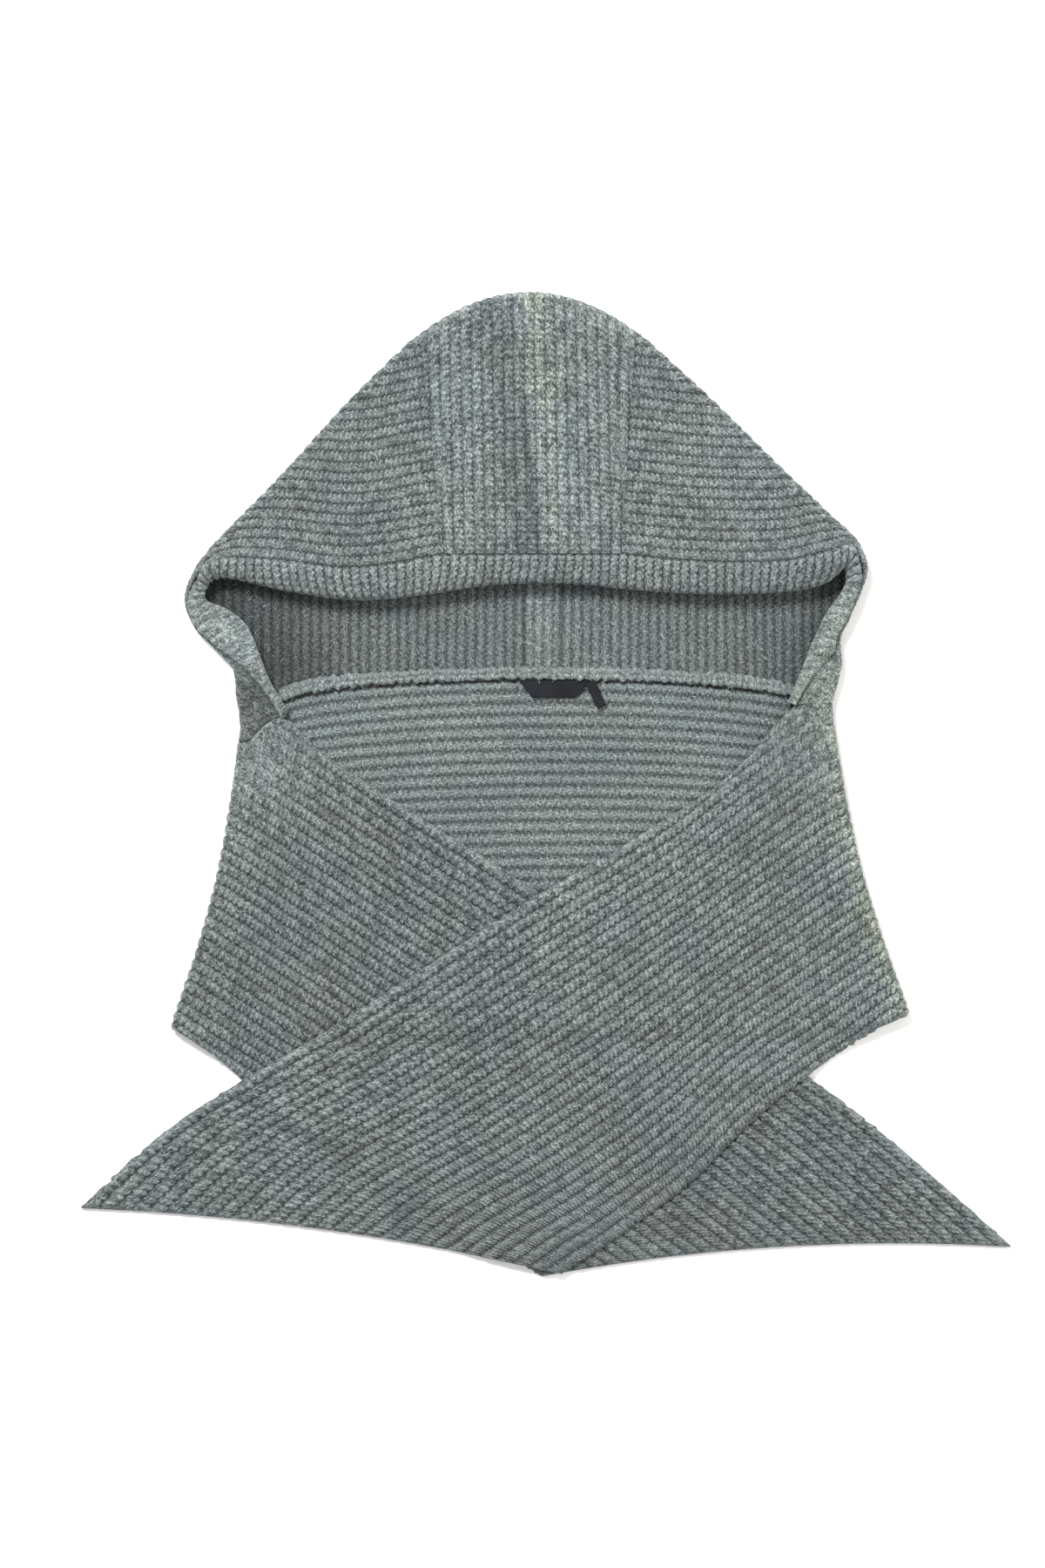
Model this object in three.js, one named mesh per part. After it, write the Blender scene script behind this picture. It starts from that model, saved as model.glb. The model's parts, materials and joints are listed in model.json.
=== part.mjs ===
// A knitted hood with a long scarf, lying on its back with the face opening up and the scarf's tails crossed.
// Millimetres, +X to the right and +Y up as it is seen from above, +Z up from the surface that it lies on.
import * as THREE from "three";

// Overall sizes of the garment as it lies
const HOOD_WIDTH = 502.5; // corner to corner across the face opening
const HOOD_HEIGHT = 292.5; // neck seam to the top of the crown
const HOOD_OFFSET = -11.4; // the hood's middle from the scarf's middle
const HEM_WIDTH = 541.5; // fold to fold at the hem of the back panel
const FRONT_DROP = 438; // neck seam to the lowest corner of the tails

// The knit, and how its layers lie on each other
const WALL = 3; // knit thickness between the ribs
const RIB_HEIGHT = 1.2; // how far a rib stands above the wall
const RIB_PITCH = 7.8; // rib to rib
const LAYER_GAP = 0.5; // clearance between two layers that lie on each other
const SEAM_GAP = 0.7; // clearance between two pieces along a seam
const FOLD_RADIUS = 4.5; // inside bend of the soft side folds, at mid wall
const FOLD_REACH = 40; // how far from its fold a tail still stands proud
const DRAPE_EASE = 20; // how far a layer takes to climb over the edge of another

// The hood
const BROW_LOFT = 24; // height of the brow above the surface, at mid wall
const CROWN_RISE = 31.5; // how far the crown strip's fold stands above the folds of its seams
const BAND_THICKNESS = 7; // the folded rib band
const BAND_RIB_HEIGHT = 0.8; // rib relief of the band, on each face
const BROW_DIP = 6; // how far the band's free edge hangs lower beside the middle of the brow
const BAND_LEAD = 1.6; // clearance between the hood's front edge and the band
const NAPE_WIDTH = 28; // width of the crown strip where it meets the neck
const NAPE_OFFSET = -0.5; // its middle there, from the scarf's middle
const NAPE_WAIST = 3; // how early the crown strip narrows towards the nape

// The raised seam allowance at the neck, and the labels
const ALLOWANCE_WIDTH = 8.5;
const ALLOWANCE_HEIGHT = 4.6;
const ALLOWANCE_LEAD = 0.5; // clearance between the neck edge and the rolled allowance
const LABEL_WIDTH = 52.5;
const LABEL_HEIGHT = 13;
const LABEL_THICKNESS = 1.2;
const LABEL_OFFSET = 10; // middle of the label from the middle of the crown strip
const TAB_WIDTH = 9.5;
const TAB_LENGTH = 21;
const TAB_GAP = 5; // middle of the tab's top from the label's end
const TAB_DROP = 2.5;
const TAB_TILT = 25; // degrees

const LAYER = WALL + RIB_HEIGHT + LAYER_GAP; // height from one layer to the next
const FLOOR_MID = WALL / 2; // mid wall of a layer that lies on the surface
const SCARF_RIBS = 29;

const clamp = (value, low, high) => Math.min(Math.max(value, low), high);
const mix = (a, b, share) => a + (b - a) * share;
const smooth = (share) => share * share * (3 - 2 * share);
const vector = (x, y, z) => new THREE.Vector3(x, y, z);
const between = (a, b, share) => a.clone().lerp(b, share);

// A smooth curve through the rows of a table: share 0 is the first row, 1 the last.
function along(rows, share) {
  const last = rows.length - 1;
  const place = clamp(share, 0, 1) * last;
  const i = Math.min(Math.floor(place), last - 1);
  const f = place - i;
  const [a, b, c, d] = [i - 1, i, i + 1, i + 2].map((k) => rows[clamp(k, 0, last)]);
  return b.map(
    (_, k) =>
      b[k] +
      0.5 * f * (c[k] - a[k]) +
      0.5 * f * f * (2 * a[k] - 5 * b[k] + 4 * c[k] - d[k]) +
      0.5 * f ** 3 * (3 * b[k] - a[k] - 3 * c[k] + d[k]),
  );
}

// Closed wall of knit round a mid surface. Each station is a cross-line at `u` whose outer and inner faces
// are lists of [place across, rib lift, rank]; faces with unlike numbers of points are joined strip by strip,
// in the order of their ranks, which are the places where no rank is given.
function knitWall(surface, stations, { turned = false, trimEnds = true, trimSides = true } = {}) {
  const STEP = 1e-4;
  const corners = [];
  const triangles = [];
  const firstU = stations[0].u;
  const lastU = stations[stations.length - 1].u;

  // Pulls a border of the surface in by the seam gap.
  function seated(station, v) {
    let { u } = station;
    let across = v;
    const here = surface(u, v);
    if (trimEnds && (u === firstU || u === lastU)) {
      const inward = Math.sign(u === firstU ? lastU - firstU : firstU - lastU) * STEP;
      u += (inward * SEAM_GAP) / 2 / Math.max(here.distanceTo(surface(u + inward, v)), 1e-7);
    }
    if (trimSides && (v === 0 || v === station.width)) {
      const inward = (v === 0 ? 1 : -1) * STEP * station.width;
      across += (inward * SEAM_GAP) / 2 / Math.max(here.distanceTo(surface(station.u, v + inward)), 1e-7);
    }
    return [u, across];
  }

  function place(station, v, side, lift) {
    const [u, across] = seated(station, v);
    const stepV = STEP * station.width;
    const lowU = clamp(u - STEP, Math.min(firstU, lastU), Math.max(firstU, lastU));
    const highU = clamp(u + STEP, Math.min(firstU, lastU), Math.max(firstU, lastU));
    const lowV = clamp(across - stepV, 0, station.width);
    const highV = clamp(across + stepV, 0, station.width);
    const alongU = surface(highU, across).sub(surface(lowU, across));
    const alongV = surface(u, highV).sub(surface(u, lowV));
    const normal = alongU.cross(alongV).normalize();
    if (turned) normal.negate();
    const thick = station.half ? station.half(v) : WALL / 2;
    const point = surface(u, across).addScaledVector(normal, side * (thick + lift));
    corners.push(point.x, point.y, Math.max(point.z, 0));
    return corners.length / 3 - 1;
  }

  function strip(a, b, reversed) {
    let i = 0;
    let j = 0;
    const add = (p, q, r) => triangles.push(...(reversed ? [p, r, q] : [p, q, r]));
    while (i < a.length - 1 || j < b.length - 1) {
      if (j === b.length - 1 || (i < a.length - 1 && a[i + 1].at <= b[j + 1].at)) {
        add(a[i].index, b[j].index, a[i + 1].index);
        i += 1;
      } else {
        add(a[i].index, b[j].index, b[j + 1].index);
        j += 1;
      }
    }
  }

  const made = stations.map((station) => {
    const face = (list, side) =>
      list.map(([v, lift, rank = v]) => ({ at: rank, index: place(station, v, side, lift) }));
    return { outer: face(station.outer, 1), inner: face(station.inner, -1) };
  });
  for (let k = 0; k + 1 < made.length; k += 1) {
    const a = made[k];
    const b = made[k + 1];
    strip(a.outer, b.outer, false);
    strip(a.inner, b.inner, true);
    const side = (list, end) => list[end ? list.length - 1 : 0].index;
    for (const end of [false, true]) {
      const quad = [side(b.outer, end), side(a.outer, end), side(a.inner, end), side(b.inner, end)];
      if (end) quad.reverse();
      triangles.push(quad[0], quad[1], quad[2], quad[0], quad[2], quad[3]);
    }
  }
  strip(made[0].outer, made[0].inner, true);
  strip(made[made.length - 1].outer, made[made.length - 1].inner, false);

  const geometry = new THREE.BufferGeometry();
  geometry.setAttribute("position", new THREE.Float32BufferAttribute(corners, 3));
  geometry.setIndex(triangles);
  if (signedVolume(corners, triangles) < 0) geometry.setIndex(reversedFaces(triangles));
  geometry.computeVertexNormals();
  return geometry;
}

function signedVolume(corners, triangles) {
  const at = (i) => vector(corners[3 * i], corners[3 * i + 1], corners[3 * i + 2]);
  let volume = 0;
  for (let i = 0; i < triangles.length; i += 3) {
    volume += at(triangles[i]).dot(at(triangles[i + 1]).cross(at(triangles[i + 2]))) / 6;
  }
  return volume;
}

function reversedFaces(triangles) {
  return triangles.map((_, i) => triangles[i - (i % 3) + [0, 2, 1][i % 3]]);
}

// Places across a face: with ribs, a furrow and a crest for each, and plain, one point for every few ribs.
const PLAIN_RIBS = 4;
function ribbed(from, to, pitch = RIB_PITCH, lift = RIB_HEIGHT) {
  const list = [];
  for (let k = Math.ceil((2 * from) / pitch + 0.2); (k * pitch) / 2 < to - 0.2 * pitch; k += 1) {
    list.push([(k * pitch) / 2, k % 2 ? lift : 0]);
  }
  return list;
}
function plain(from, to, pitch = RIB_PITCH) {
  const list = [];
  const wide = PLAIN_RIBS * pitch;
  for (let k = Math.ceil(from / wide + 0.2); k * wide < to - 0.2 * wide; k += 1) list.push([k * wide, 0]);
  return list;
}
const closedList = (list, width) => [[0, 0], ...list, [width, 0]];

// Scarf

// Its borders from the shoulder fold to the tail's end: neck x, neck y, hem x, hem y, bow of the cross-line.
// x in half hem widths from the middle, y and bow in front drops, y down from the neck seam.
const OVER_TAIL = [
  [0.801, 0.059, 1.007, 0.556, 0.01],
  [0.697, 0.03, 0.914, 0.585, 0.01],
  [0.508, 0.151, 0.75, 0.66, 0.005],
  [0.239, 0.26, 0.577, 0.743, 0],
  [-0.097, 0.383, 0.409, 0.837, 0],
  [-0.549, 0.564, 0.236, 0.918, 0.005],
  [-0.995, 0.746, 0.126, 0.964, 0.015],
  [-1.255, 0.884, 0.049, 1.0, 0.02],
];
const UNDER_TAIL = [
  [-0.837, 0.089, -1.0, 0.579, 0.01],
  [-0.719, 0.049, -0.921, 0.616, 0.01],
  [-0.597, 0.114, -0.791, 0.678, 0.005],
  [-0.366, 0.208, -0.623, 0.745, 0],
  [-0.013, 0.347, -0.455, 0.81, 0],
  [0.433, 0.537, -0.287, 0.881, 0.005],
  [0.863, 0.72, -0.143, 0.944, 0.015],
  [1.293, 0.95, -0.001, 1.0, 0.025],
];
const BACK_PANEL = [
  OVER_TAIL[0],
  [0.683, 0.022, 0.794, 0.561, 0],
  [0.385, 0.003, 0.433, 0.562, 0],
  [-0.023, -0.003, 0.001, 0.564, 0],
  [-0.431, 0.006, -0.455, 0.567, 0],
  [-0.707, 0.028, -0.815, 0.573, 0],
  UNDER_TAIL[0],
];

// Outward direction of a shoulder fold, and the axis that the wall bends round.
function shoulderFold(row) {
  const side = Math.sign(row[0]);
  const run = ((row[2] - row[0]) * HEM_WIDTH) / 2;
  const drop = (row[3] - row[1]) * FRONT_DROP;
  return vector(drop * side, run * side, 0).normalize();
}
function scarfPlan(rows, share, v) {
  const [neckX, neckY, hemX, hemY, bow] = along(rows, share);
  const bent = mix(neckY, hemY, v) - 4 * bow * v * (1 - v);
  return vector((mix(neckX, hemX, v) * HEM_WIDTH) / 2, -bent * FRONT_DROP, 0);
}
function insetRows(rows) {
  const pull = (row) => {
    const out = shoulderFold(row).multiplyScalar(FOLD_RADIUS);
    const x = (2 * out.x) / HEM_WIDTH;
    const y = out.y / FRONT_DROP;
    return [row[0] - x, row[1] + y, row[2] - x, row[3] + y, row[4]];
  };
  const isFold = (row) => row === OVER_TAIL[0] || row === UNDER_TAIL[0];
  return rows.map((row) => (isFold(row) ? pull(row) : row));
}
const OVER_ROWS = insetRows(OVER_TAIL);
const UNDER_ROWS = insetRows(UNDER_TAIL);
const BACK_ROWS = insetRows(BACK_PANEL);

// Outline of a stretch of the scarf, and how fully a point above it is carried by it.
function outlineOf(rows) {
  const STEPS = 14;
  const neck = [];
  const hem = [];
  for (let k = 0; k <= STEPS; k += 1) {
    neck.push(scarfPlan(rows, k / STEPS, 0));
    hem.push(scarfPlan(rows, k / STEPS, 1));
  }
  return [...neck, ...hem.reverse()];
}
function carried(outline, point) {
  let inside = false;
  let nearest = Infinity;
  outline.forEach((a, i) => {
    const b = outline[(i + 1) % outline.length];
    if (a.y > point.y !== b.y > point.y && point.x < a.x + ((b.x - a.x) * (point.y - a.y)) / (b.y - a.y)) {
      inside = !inside;
    }
    const edge = b.clone().sub(a);
    const share = clamp(point.clone().sub(a).dot(edge) / Math.max(edge.lengthSq(), 1e-9), 0, 1);
    nearest = Math.min(nearest, point.distanceTo(a.clone().addScaledVector(edge, share)));
  });
  return smooth(inside ? 1 : clamp(1 - nearest / DRAPE_EASE, 0, 1));
}
const BACK_OUTLINE = outlineOf(BACK_PANEL);
const UNDER_OUTLINE = outlineOf(UNDER_TAIL);

function tailPoint(rows, share, v, over) {
  const point = scarfPlan(rows, share, v);
  const fold = scarfPlan(rows, 0, v);
  const rest =
    FLOOR_MID + LAYER * carried(BACK_OUTLINE, point) + (over ? LAYER * carried(UNDER_OUTLINE, point) : 0);
  const proud = Math.exp(-((point.distanceTo(fold) / FOLD_REACH) ** 2));
  point.z = mix(rest, FLOOR_MID + 2 * FOLD_RADIUS, proud);
  return point;
}
function foldPoint(rows, half, v) {
  const point = scarfPlan(rows, 0, v);
  point.addScaledVector(shoulderFold(rows[0]), FOLD_RADIUS * Math.sin(Math.PI * half));
  point.z = FLOOR_MID + FOLD_RADIUS * (1 + Math.cos(Math.PI * half));
  return point;
}

// Mid surface of the whole strip: over tail 0 to 1, right fold to 2, back panel to 3, left fold to 4, under tail
// to 5; v runs from the neck edge to the hem.
function scarf(u, v) {
  if (u <= 1) return tailPoint(OVER_ROWS, 1 - u, v, true);
  if (u <= 2) return foldPoint(OVER_ROWS, u - 1, v);
  if (u <= 3) return scarfPlan(BACK_ROWS, u - 2, v).setZ(FLOOR_MID);
  if (u <= 4) return foldPoint(UNDER_ROWS, 4 - u, v);
  return tailPoint(UNDER_ROWS, u - 4, v, false);
}

// Where the crown strip's seams meet the neck, as shares of the neck's back edge.
function napeShare(x) {
  let low = 0;
  let high = 1;
  for (let halving = 0; halving < 40; halving += 1) {
    const tried = (low + high) / 2;
    if (scarfPlan(BACK_ROWS, tried, 0).x > x) low = tried;
    else high = tried;
  }
  return low;
}
const NAPE_RIGHT = napeShare(NAPE_OFFSET + NAPE_WIDTH / 2);
const NAPE_LEFT = napeShare(NAPE_OFFSET - NAPE_WIDTH / 2);

// Tails show ribs on their outer face, the back panel on its inner face, and both lie flat where they rest.
function scarfStations() {
  const rib = 1 / SCARF_RIBS;
  const ribs = closedList(ribbed(0, 1, rib), 1);
  const even = closedList(plain(0, 1, rib), 1);
  const tail = [0, 0.14, 0.28, 0.41, 0.54, 0.67, 0.78, 0.87, 0.94];
  const fold = [0, 0.25, 0.5, 0.75];
  const back = [0, 0.05, 0.12, 0.21, 0.33, NAPE_RIGHT, NAPE_LEFT, 0.65, 0.76, 0.86, 0.94];
  const at = (u, ribsOutside) => ({ u, width: 1, outer: ribsOutside ? ribs : even, inner: ribsOutside ? even : ribs });
  return [
    ...tail.map((share) => at(share, true)),
    ...fold.map((share) => at(1 + share, share < 0.6)),
    ...back.map((share) => at(2 + share, false)),
    ...fold.map((share) => at(3 + share, share > 0.4)),
    ...[...tail].reverse().map((share) => at(5 - share, true)),
  ];
}

// Hood

// A side panel's cross-lines, from the seam beside the crown strip (first row) to the neck (last row).
// Columns: front edge x, y, height; band's free edge x, y, height; fold in the outline x, y; the way the fold
// faces in degrees; its radius; the share of the half turn before the front edge; place down the back seam.
// x in half hood widths and y in hood heights from the middle of the neck seam, heights and radius in lofts.
const LEFT_SIDE = [
  [-0.246, 0.34, 0.95, -0.264, 0.242, 0.95, -0.321, 0.893, 113, 0.19, 0, 0],
  [-0.507, 0.307, 1.0, -0.491, 0.224, 0.95, -0.507, 0.74, 135, 0.19, 0, 0.16],
  [-0.722, 0.324, 1.0, -0.704, 0.247, 0.9, -0.722, 0.538, 137, 0.2, 0, 0.38],
  [-0.869, 0.329, 0.95, -0.874, 0.282, 0.85, -0.869, 0.409, 142, 0.24, 0, 0.52],
  [-0.937, 0.311, 0.85, -0.931, 0.278, 0.72, -0.947, 0.336, 150, 0.28, 0.04, 0.61],
  [-0.978, 0.269, 0.7, -0.952, 0.258, 0.5, -0.994, 0.267, 168, 0.32, 0.2, 0.7],
  [-1.0, 0.211, 0.55, -0.95, 0.224, 0.36, -1.001, 0.211, 182, 0.32, 0.35, 0.77],
  [-0.972, 0.156, 0.42, -0.89, 0.202, 0.33, -0.973, 0.156, 205, 0.3, 0.42, 0.83],
  [-0.918, 0.11, 0.45, -0.831, 0.16, 0.36, -0.921, 0.111, 210, 0.27, 0.36, 0.885],
  [-0.852, 0.063, 0.52, -0.789, 0.08, 0.5, -0.872, 0.058, 194, 0.25, 0.12, 0.93],
  [-0.807, 0.002, 0.5, -0.758, 0.011, 0.52, -0.869, -0.016, 183, 0.22, 0, 0.97],
  [-0.768, -0.062, 0.44, -0.714, -0.056, 0.5, -0.856, -0.129, 190, 0.19, 0, 1],
];
const RIGHT_SIDE = [
  [0.277, 0.34, 0.95, 0.272, 0.253, 0.95, 0.326, 0.898, 113, 0.19, 0, 0],
  [0.512, 0.322, 1.0, 0.512, 0.24, 0.95, 0.512, 0.753, 135, 0.19, 0, 0.16],
  [0.727, 0.322, 1.0, 0.719, 0.244, 0.9, 0.727, 0.56, 137, 0.2, 0, 0.38],
  [0.867, 0.347, 0.95, 0.84, 0.262, 0.85, 0.867, 0.44, 140, 0.24, 0, 0.52],
  [0.95, 0.355, 0.85, 0.9, 0.288, 0.8, 0.952, 0.369, 148, 0.28, 0.04, 0.61],
  [0.985, 0.311, 0.7, 0.942, 0.294, 0.64, 0.999, 0.311, 170, 0.32, 0.2, 0.7],
  [0.986, 0.24, 0.55, 0.938, 0.249, 0.42, 0.988, 0.24, 192, 0.32, 0.35, 0.77],
  [0.961, 0.182, 0.46, 0.9, 0.178, 0.42, 0.962, 0.182, 205, 0.3, 0.38, 0.83],
  [0.918, 0.134, 0.48, 0.864, 0.127, 0.42, 0.931, 0.129, 203, 0.27, 0.3, 0.885],
  [0.885, 0.071, 0.52, 0.823, 0.073, 0.5, 0.926, 0.058, 186, 0.25, 0.08, 0.93],
  [0.854, 0.009, 0.5, 0.797, 0.016, 0.52, 0.921, -0.016, 183, 0.22, 0, 0.97],
  [0.823, -0.049, 0.44, 0.779, -0.033, 0.5, 0.908, -0.089, 190, 0.19, 0, 1],
];
const SIDES = {
  left: { rows: LEFT_SIDE, hand: -1, nape: 2 + NAPE_LEFT, front: 4 + 1 / 7 },
  right: { rows: RIGHT_SIDE, hand: 1, nape: 2 + NAPE_RIGHT, front: 1 - 1 / 7 },
};
const hoodPoint = (x, y, height) =>
  vector(HOOD_OFFSET + (x * HOOD_WIDTH) / 2, y * HOOD_HEIGHT, height * BROW_LOFT);

// The scarf's neck edge beside one half of the hood, from the end of the face band round the shoulder fold to
// the nape, along the straights between the scarf's own stations.
function neckCurve({ nape, front }) {
  const low = Math.min(nape, front);
  const high = Math.max(nape, front);
  const inner = scarfStations()
    .map(({ u }) => u)
    .filter((u) => u > low && u < high);
  const places = [low, ...inner, high];
  if (front > nape) places.reverse();
  const path = new THREE.CurvePath();
  for (let k = 0; k + 1 < places.length; k += 1) {
    path.add(new THREE.LineCurve3(scarf(places[k], 0), scarf(places[k + 1], 0)));
  }
  return path;
}
for (const side of Object.values(SIDES)) {
  side.neck = neckCurve(side);
  side.napePoint = scarf(side.nape, 0);
}

// One cross-line of a side panel: a straight on the upper layer, the turn round the fold, a straight on the
// back layer to the seam beside the crown strip.
function crossLine(side, q) {
  const row = along(side.rows, q);
  const facing = THREE.MathUtils.degToRad(side.hand < 0 ? row[8] : 180 - row[8]);
  const out = vector(Math.cos(facing), Math.sin(facing), 0);
  const radius = row[9] * BROW_LOFT;
  const start = Math.max(row[10], 0) * Math.PI;
  const axis = hoodPoint(row[6], row[7], 0).addScaledVector(out, -radius).setZ(FLOOR_MID + radius);
  const turn = (angle) => {
    const point = axis.clone().addScaledVector(out, radius * Math.sin(angle));
    point.z += radius * Math.cos(angle);
    return point;
  };
  const turnStart = turn(start);
  const front = hoodPoint(row[0], row[1], row[2]).lerp(turnStart, smooth(clamp(row[10] / 0.2, 0, 1)));
  const turnEnd = turn(Math.PI);
  const seam = q === 0 ? turnEnd.clone() : backSeam(side, Math.max(row[11], 0));
  const top = front.distanceTo(turnStart);
  const round = radius * (Math.PI - start);
  const back = turnEnd.distanceTo(seam);
  return { front, turnStart, turn, start, turnEnd, seam, top, round, back, depth: top + round + back, row };
}
function crossPoint(line, distance) {
  if (distance < line.top) return between(line.front, line.turnStart, distance / line.top);
  const past = distance - line.top;
  if (past < line.round) return line.turn(mix(line.start, Math.PI, past / line.round));
  return between(line.turnEnd, line.seam, clamp((past - line.round) / Math.max(line.back, 1e-6), 0, 1));
}

// The seam beside the crown strip on the back layer, from the crown's fold to the nape.
function backSeam(side, share) {
  const crown = crownFold(side);
  const { napePoint } = side;
  const down = clamp(share, 0, 1);
  return vector(
    mix(napePoint.x, crown.x, (1 - down) ** NAPE_WAIST),
    mix(crown.y, napePoint.y, down),
    FLOOR_MID,
  );
}
function crownFold(side) {
  if (!side.crown) side.crown = crossLine(side, 0).turnEnd;
  return side.crown;
}

// Mid surface of a side panel: q from the crown strip to the neck, v the distance from the front edge. Its last
// cross-lines ease on to the neck's own curve.
const NECK_BLEND = 0.75;
function sideSurface(side) {
  const cache = new Map();
  const lineAt = (q) => {
    if (!cache.has(q)) cache.set(q, crossLine(side, q));
    return cache.get(q);
  };
  const surface = (q, v) => {
    const line = lineAt(q);
    const point = crossPoint(line, v);
    const eased = smooth(clamp((q - NECK_BLEND) / (1 - NECK_BLEND), 0, 1));
    if (eased === 0) return point;
    const share = clamp(v / line.depth, 0, 1);
    const last = lineAt(1);
    const shift = side.neck.getPointAt(share).sub(crossPoint(last, share * last.depth));
    return point.addScaledVector(shift, eased);
  };
  return { surface, lineAt };
}

// Ribs run from the crown strip round the fold and down to the neck; they show outside on the upper layer and
// inside on the back layer.
const SIDE_STATIONS = 18;
function sidePanel(side) {
  const { surface, lineAt } = sideSurface(side);
  const stations = [];
  for (let k = 0; k <= SIDE_STATIONS; k += 1) {
    const q = k / SIDE_STATIONS;
    const line = lineAt(q);
    const width = line.depth;
    const folded = Math.min(line.top + line.round, width);
    const ranked = (list, leg) => list.map(([v, lift]) => [v, lift, leg + v / width / 2]);
    const bend = (shares, lift) =>
      shares.map((share) => [line.top + (folded - line.top) * share, lift, 1 + share / 2]);
    const even = k === SIDE_STATIONS ? (from, to) => ribbed(from, to, RIB_PITCH, 0) : plain;
    const face = (upper, turn, lower) => {
      const list = [...(line.top > 1 ? [[0, 0, -1]] : []), ...upper, ...turn];
      if (width - folded > 1) list.push(...lower, [width, 0, 4]);
      list[0][0] = 0;
      list[list.length - 1][0] = width;
      return list;
    };
    const top = [0, line.top];
    const back = [folded, width];
    const outer = face(ranked(ribbed(...top), 0), bend([0, 0.2, 0.4, 0.6, 0.8, 1], 0), ranked(even(...back), 2));
    const inner = face(ranked(even(...top), 0), bend([0, 0.33, 0.67, 1], 0), ranked(ribbed(...back), 2));
    stations.push({ u: q, width, outer, inner });
  }
  return knitWall(surface, stations, { turned: side.hand < 0 });
}

// Mid surface of the crown strip: s from the brow over the crown (1) to the nape (2), v across in millimetres
// of the widest cross-line, from the left seam to the right seam.
const CROWN_WIDTH = (0.326 + 0.321) * (HOOD_WIDTH / 2);
function seamPath(side, s) {
  if (s > 1) return backSeam(side, s - 1);
  const line = crossLine(side, 0);
  return crossPoint(line, s * line.depth);
}
function crownStrip(s, v) {
  const share = v / CROWN_WIDTH;
  const left = seamPath(SIDES.left, s);
  const right = seamPath(SIDES.right, s);
  const point = between(left, right, share);
  const brow = s < 1 ? 0.34 * HOOD_HEIGHT : 0;
  const rise = clamp((point.y - brow) / (crownFold(SIDES.left).y - brow), 0, 1);
  point.y += CROWN_RISE * 4 * share * (1 - share) * rise ** (s < 1 ? 1.3 : 1.8);
  return point;
}
function crownStripWall() {
  const line = crossLine(SIDES.left, 0);
  const foldStart = line.top / line.depth;
  const front = [0, 0.16, 0.33, 0.5, 0.67, 0.83].map((share) => share * foldStart);
  const fold = [0, 0.25, 0.5, 0.75].map((share) => mix(foldStart, 1, share));
  const back = [0, 0.08, 0.17, 0.28, 0.4, 0.53, 0.68, 0.84, 1].map((share) => 1 + share);
  const widthAt = (s) => seamPath(SIDES.left, s).distanceTo(seamPath(SIDES.right, s));
  const stations = [...front, ...fold, ...back].map((s) => {
    const stretch = CROWN_WIDTH / widthAt(s);
    const middle = CROWN_WIDTH / 2;
    const fine = [];
    for (let k = -40; k <= 40; k += 1) {
      const v = middle + (k * RIB_PITCH * stretch) / 2;
      if (v > 2 && v < CROWN_WIDTH - 2) fine.push([v, k % 2 ? RIB_HEIGHT : 0]);
    }
    const ribs = closedList(fine, CROWN_WIDTH);
    const even = closedList(plain(0, CROWN_WIDTH), CROWN_WIDTH);
    const upper = s < mix(foldStart, 1, 0.6);
    return { u: s, width: CROWN_WIDTH, outer: upper ? ribs : even, inner: upper ? even : ribs };
  });
  return knitWall(crownStrip, stations, { turned: true });
}

// Face band: it starts along the hood's front edge, in the panels' own direction, and ends at its free edge.
const leftSurface = sideSurface(SIDES.left).surface;
const rightSurface = sideSurface(SIDES.right).surface;
function frontEdge(s) {
  const PROBE = 2;
  if (s < -1) return [leftSurface(-1 - s, 0), leftSurface(-1 - s, PROBE)];
  if (s > 1) return [rightSurface(s - 1, 0), rightSurface(s - 1, PROBE)];
  const v = ((s + 1) / 2) * CROWN_WIDTH;
  return [crownStrip(0, v), crownStrip(PROBE / HOOD_HEIGHT, v)];
}
function freeEdge(s) {
  const at = (side, q) => {
    const row = along(side.rows, q);
    return hoodPoint(row[3], row[4], row[5]);
  };
  if (s < -1) return at(SIDES.left, -1 - s);
  if (s > 1) return at(SIDES.right, s - 1);
  const brow = between(at(SIDES.left, 0), at(SIDES.right, 0), (s + 1) / 2);
  brow.y += BROW_DIP * (1 - s * s);
  return brow;
}
function bandSurface(s, b) {
  const [edge, inside] = frontEdge(s);
  const free = freeEdge(s);
  const width = edge.distanceTo(free);
  const onward = edge.clone().sub(inside).normalize();
  const from = edge.clone().addScaledVector(onward, BAND_LEAD);
  const bend = from.clone().addScaledVector(onward, 0.35 * width);
  return between(between(from, bend, b), between(bend, free, b), b);
}
const BAND_SIDE_STEPS = 38;
const BAND_BROW_STEPS = 18;
function bandWall() {
  const half = (b) => {
    const full = BAND_THICKNESS / 2;
    if (b < 0.25) return mix(WALL / 2, full, smooth(b / 0.25));
    return full * Math.sqrt(Math.max(1 - ((b - 0.7) / 0.32) ** 2 * (b > 0.7 ? 1 : 0), 0.02));
  };
  const places = [];
  for (let k = 0; k < BAND_SIDE_STEPS; k += 1) places.push(-2 + k / BAND_SIDE_STEPS);
  for (let k = 0; k < BAND_BROW_STEPS; k += 1) places.push(-1 + (2 * k) / BAND_BROW_STEPS);
  for (let k = 0; k <= BAND_SIDE_STEPS; k += 1) places.push(1 + k / BAND_SIDE_STEPS);
  const stations = places.map((s, k) => {
    const lift = k % 2 ? BAND_RIB_HEIGHT : 0;
    const list = [[0, 0], [0.25, lift], [0.7, lift], [0.93, 0], [1, 0]];
    return { u: s, width: 1, outer: list, inner: list, half };
  });
  return knitWall(bandSurface, stations, { turned: true, trimSides: false });
}

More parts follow.
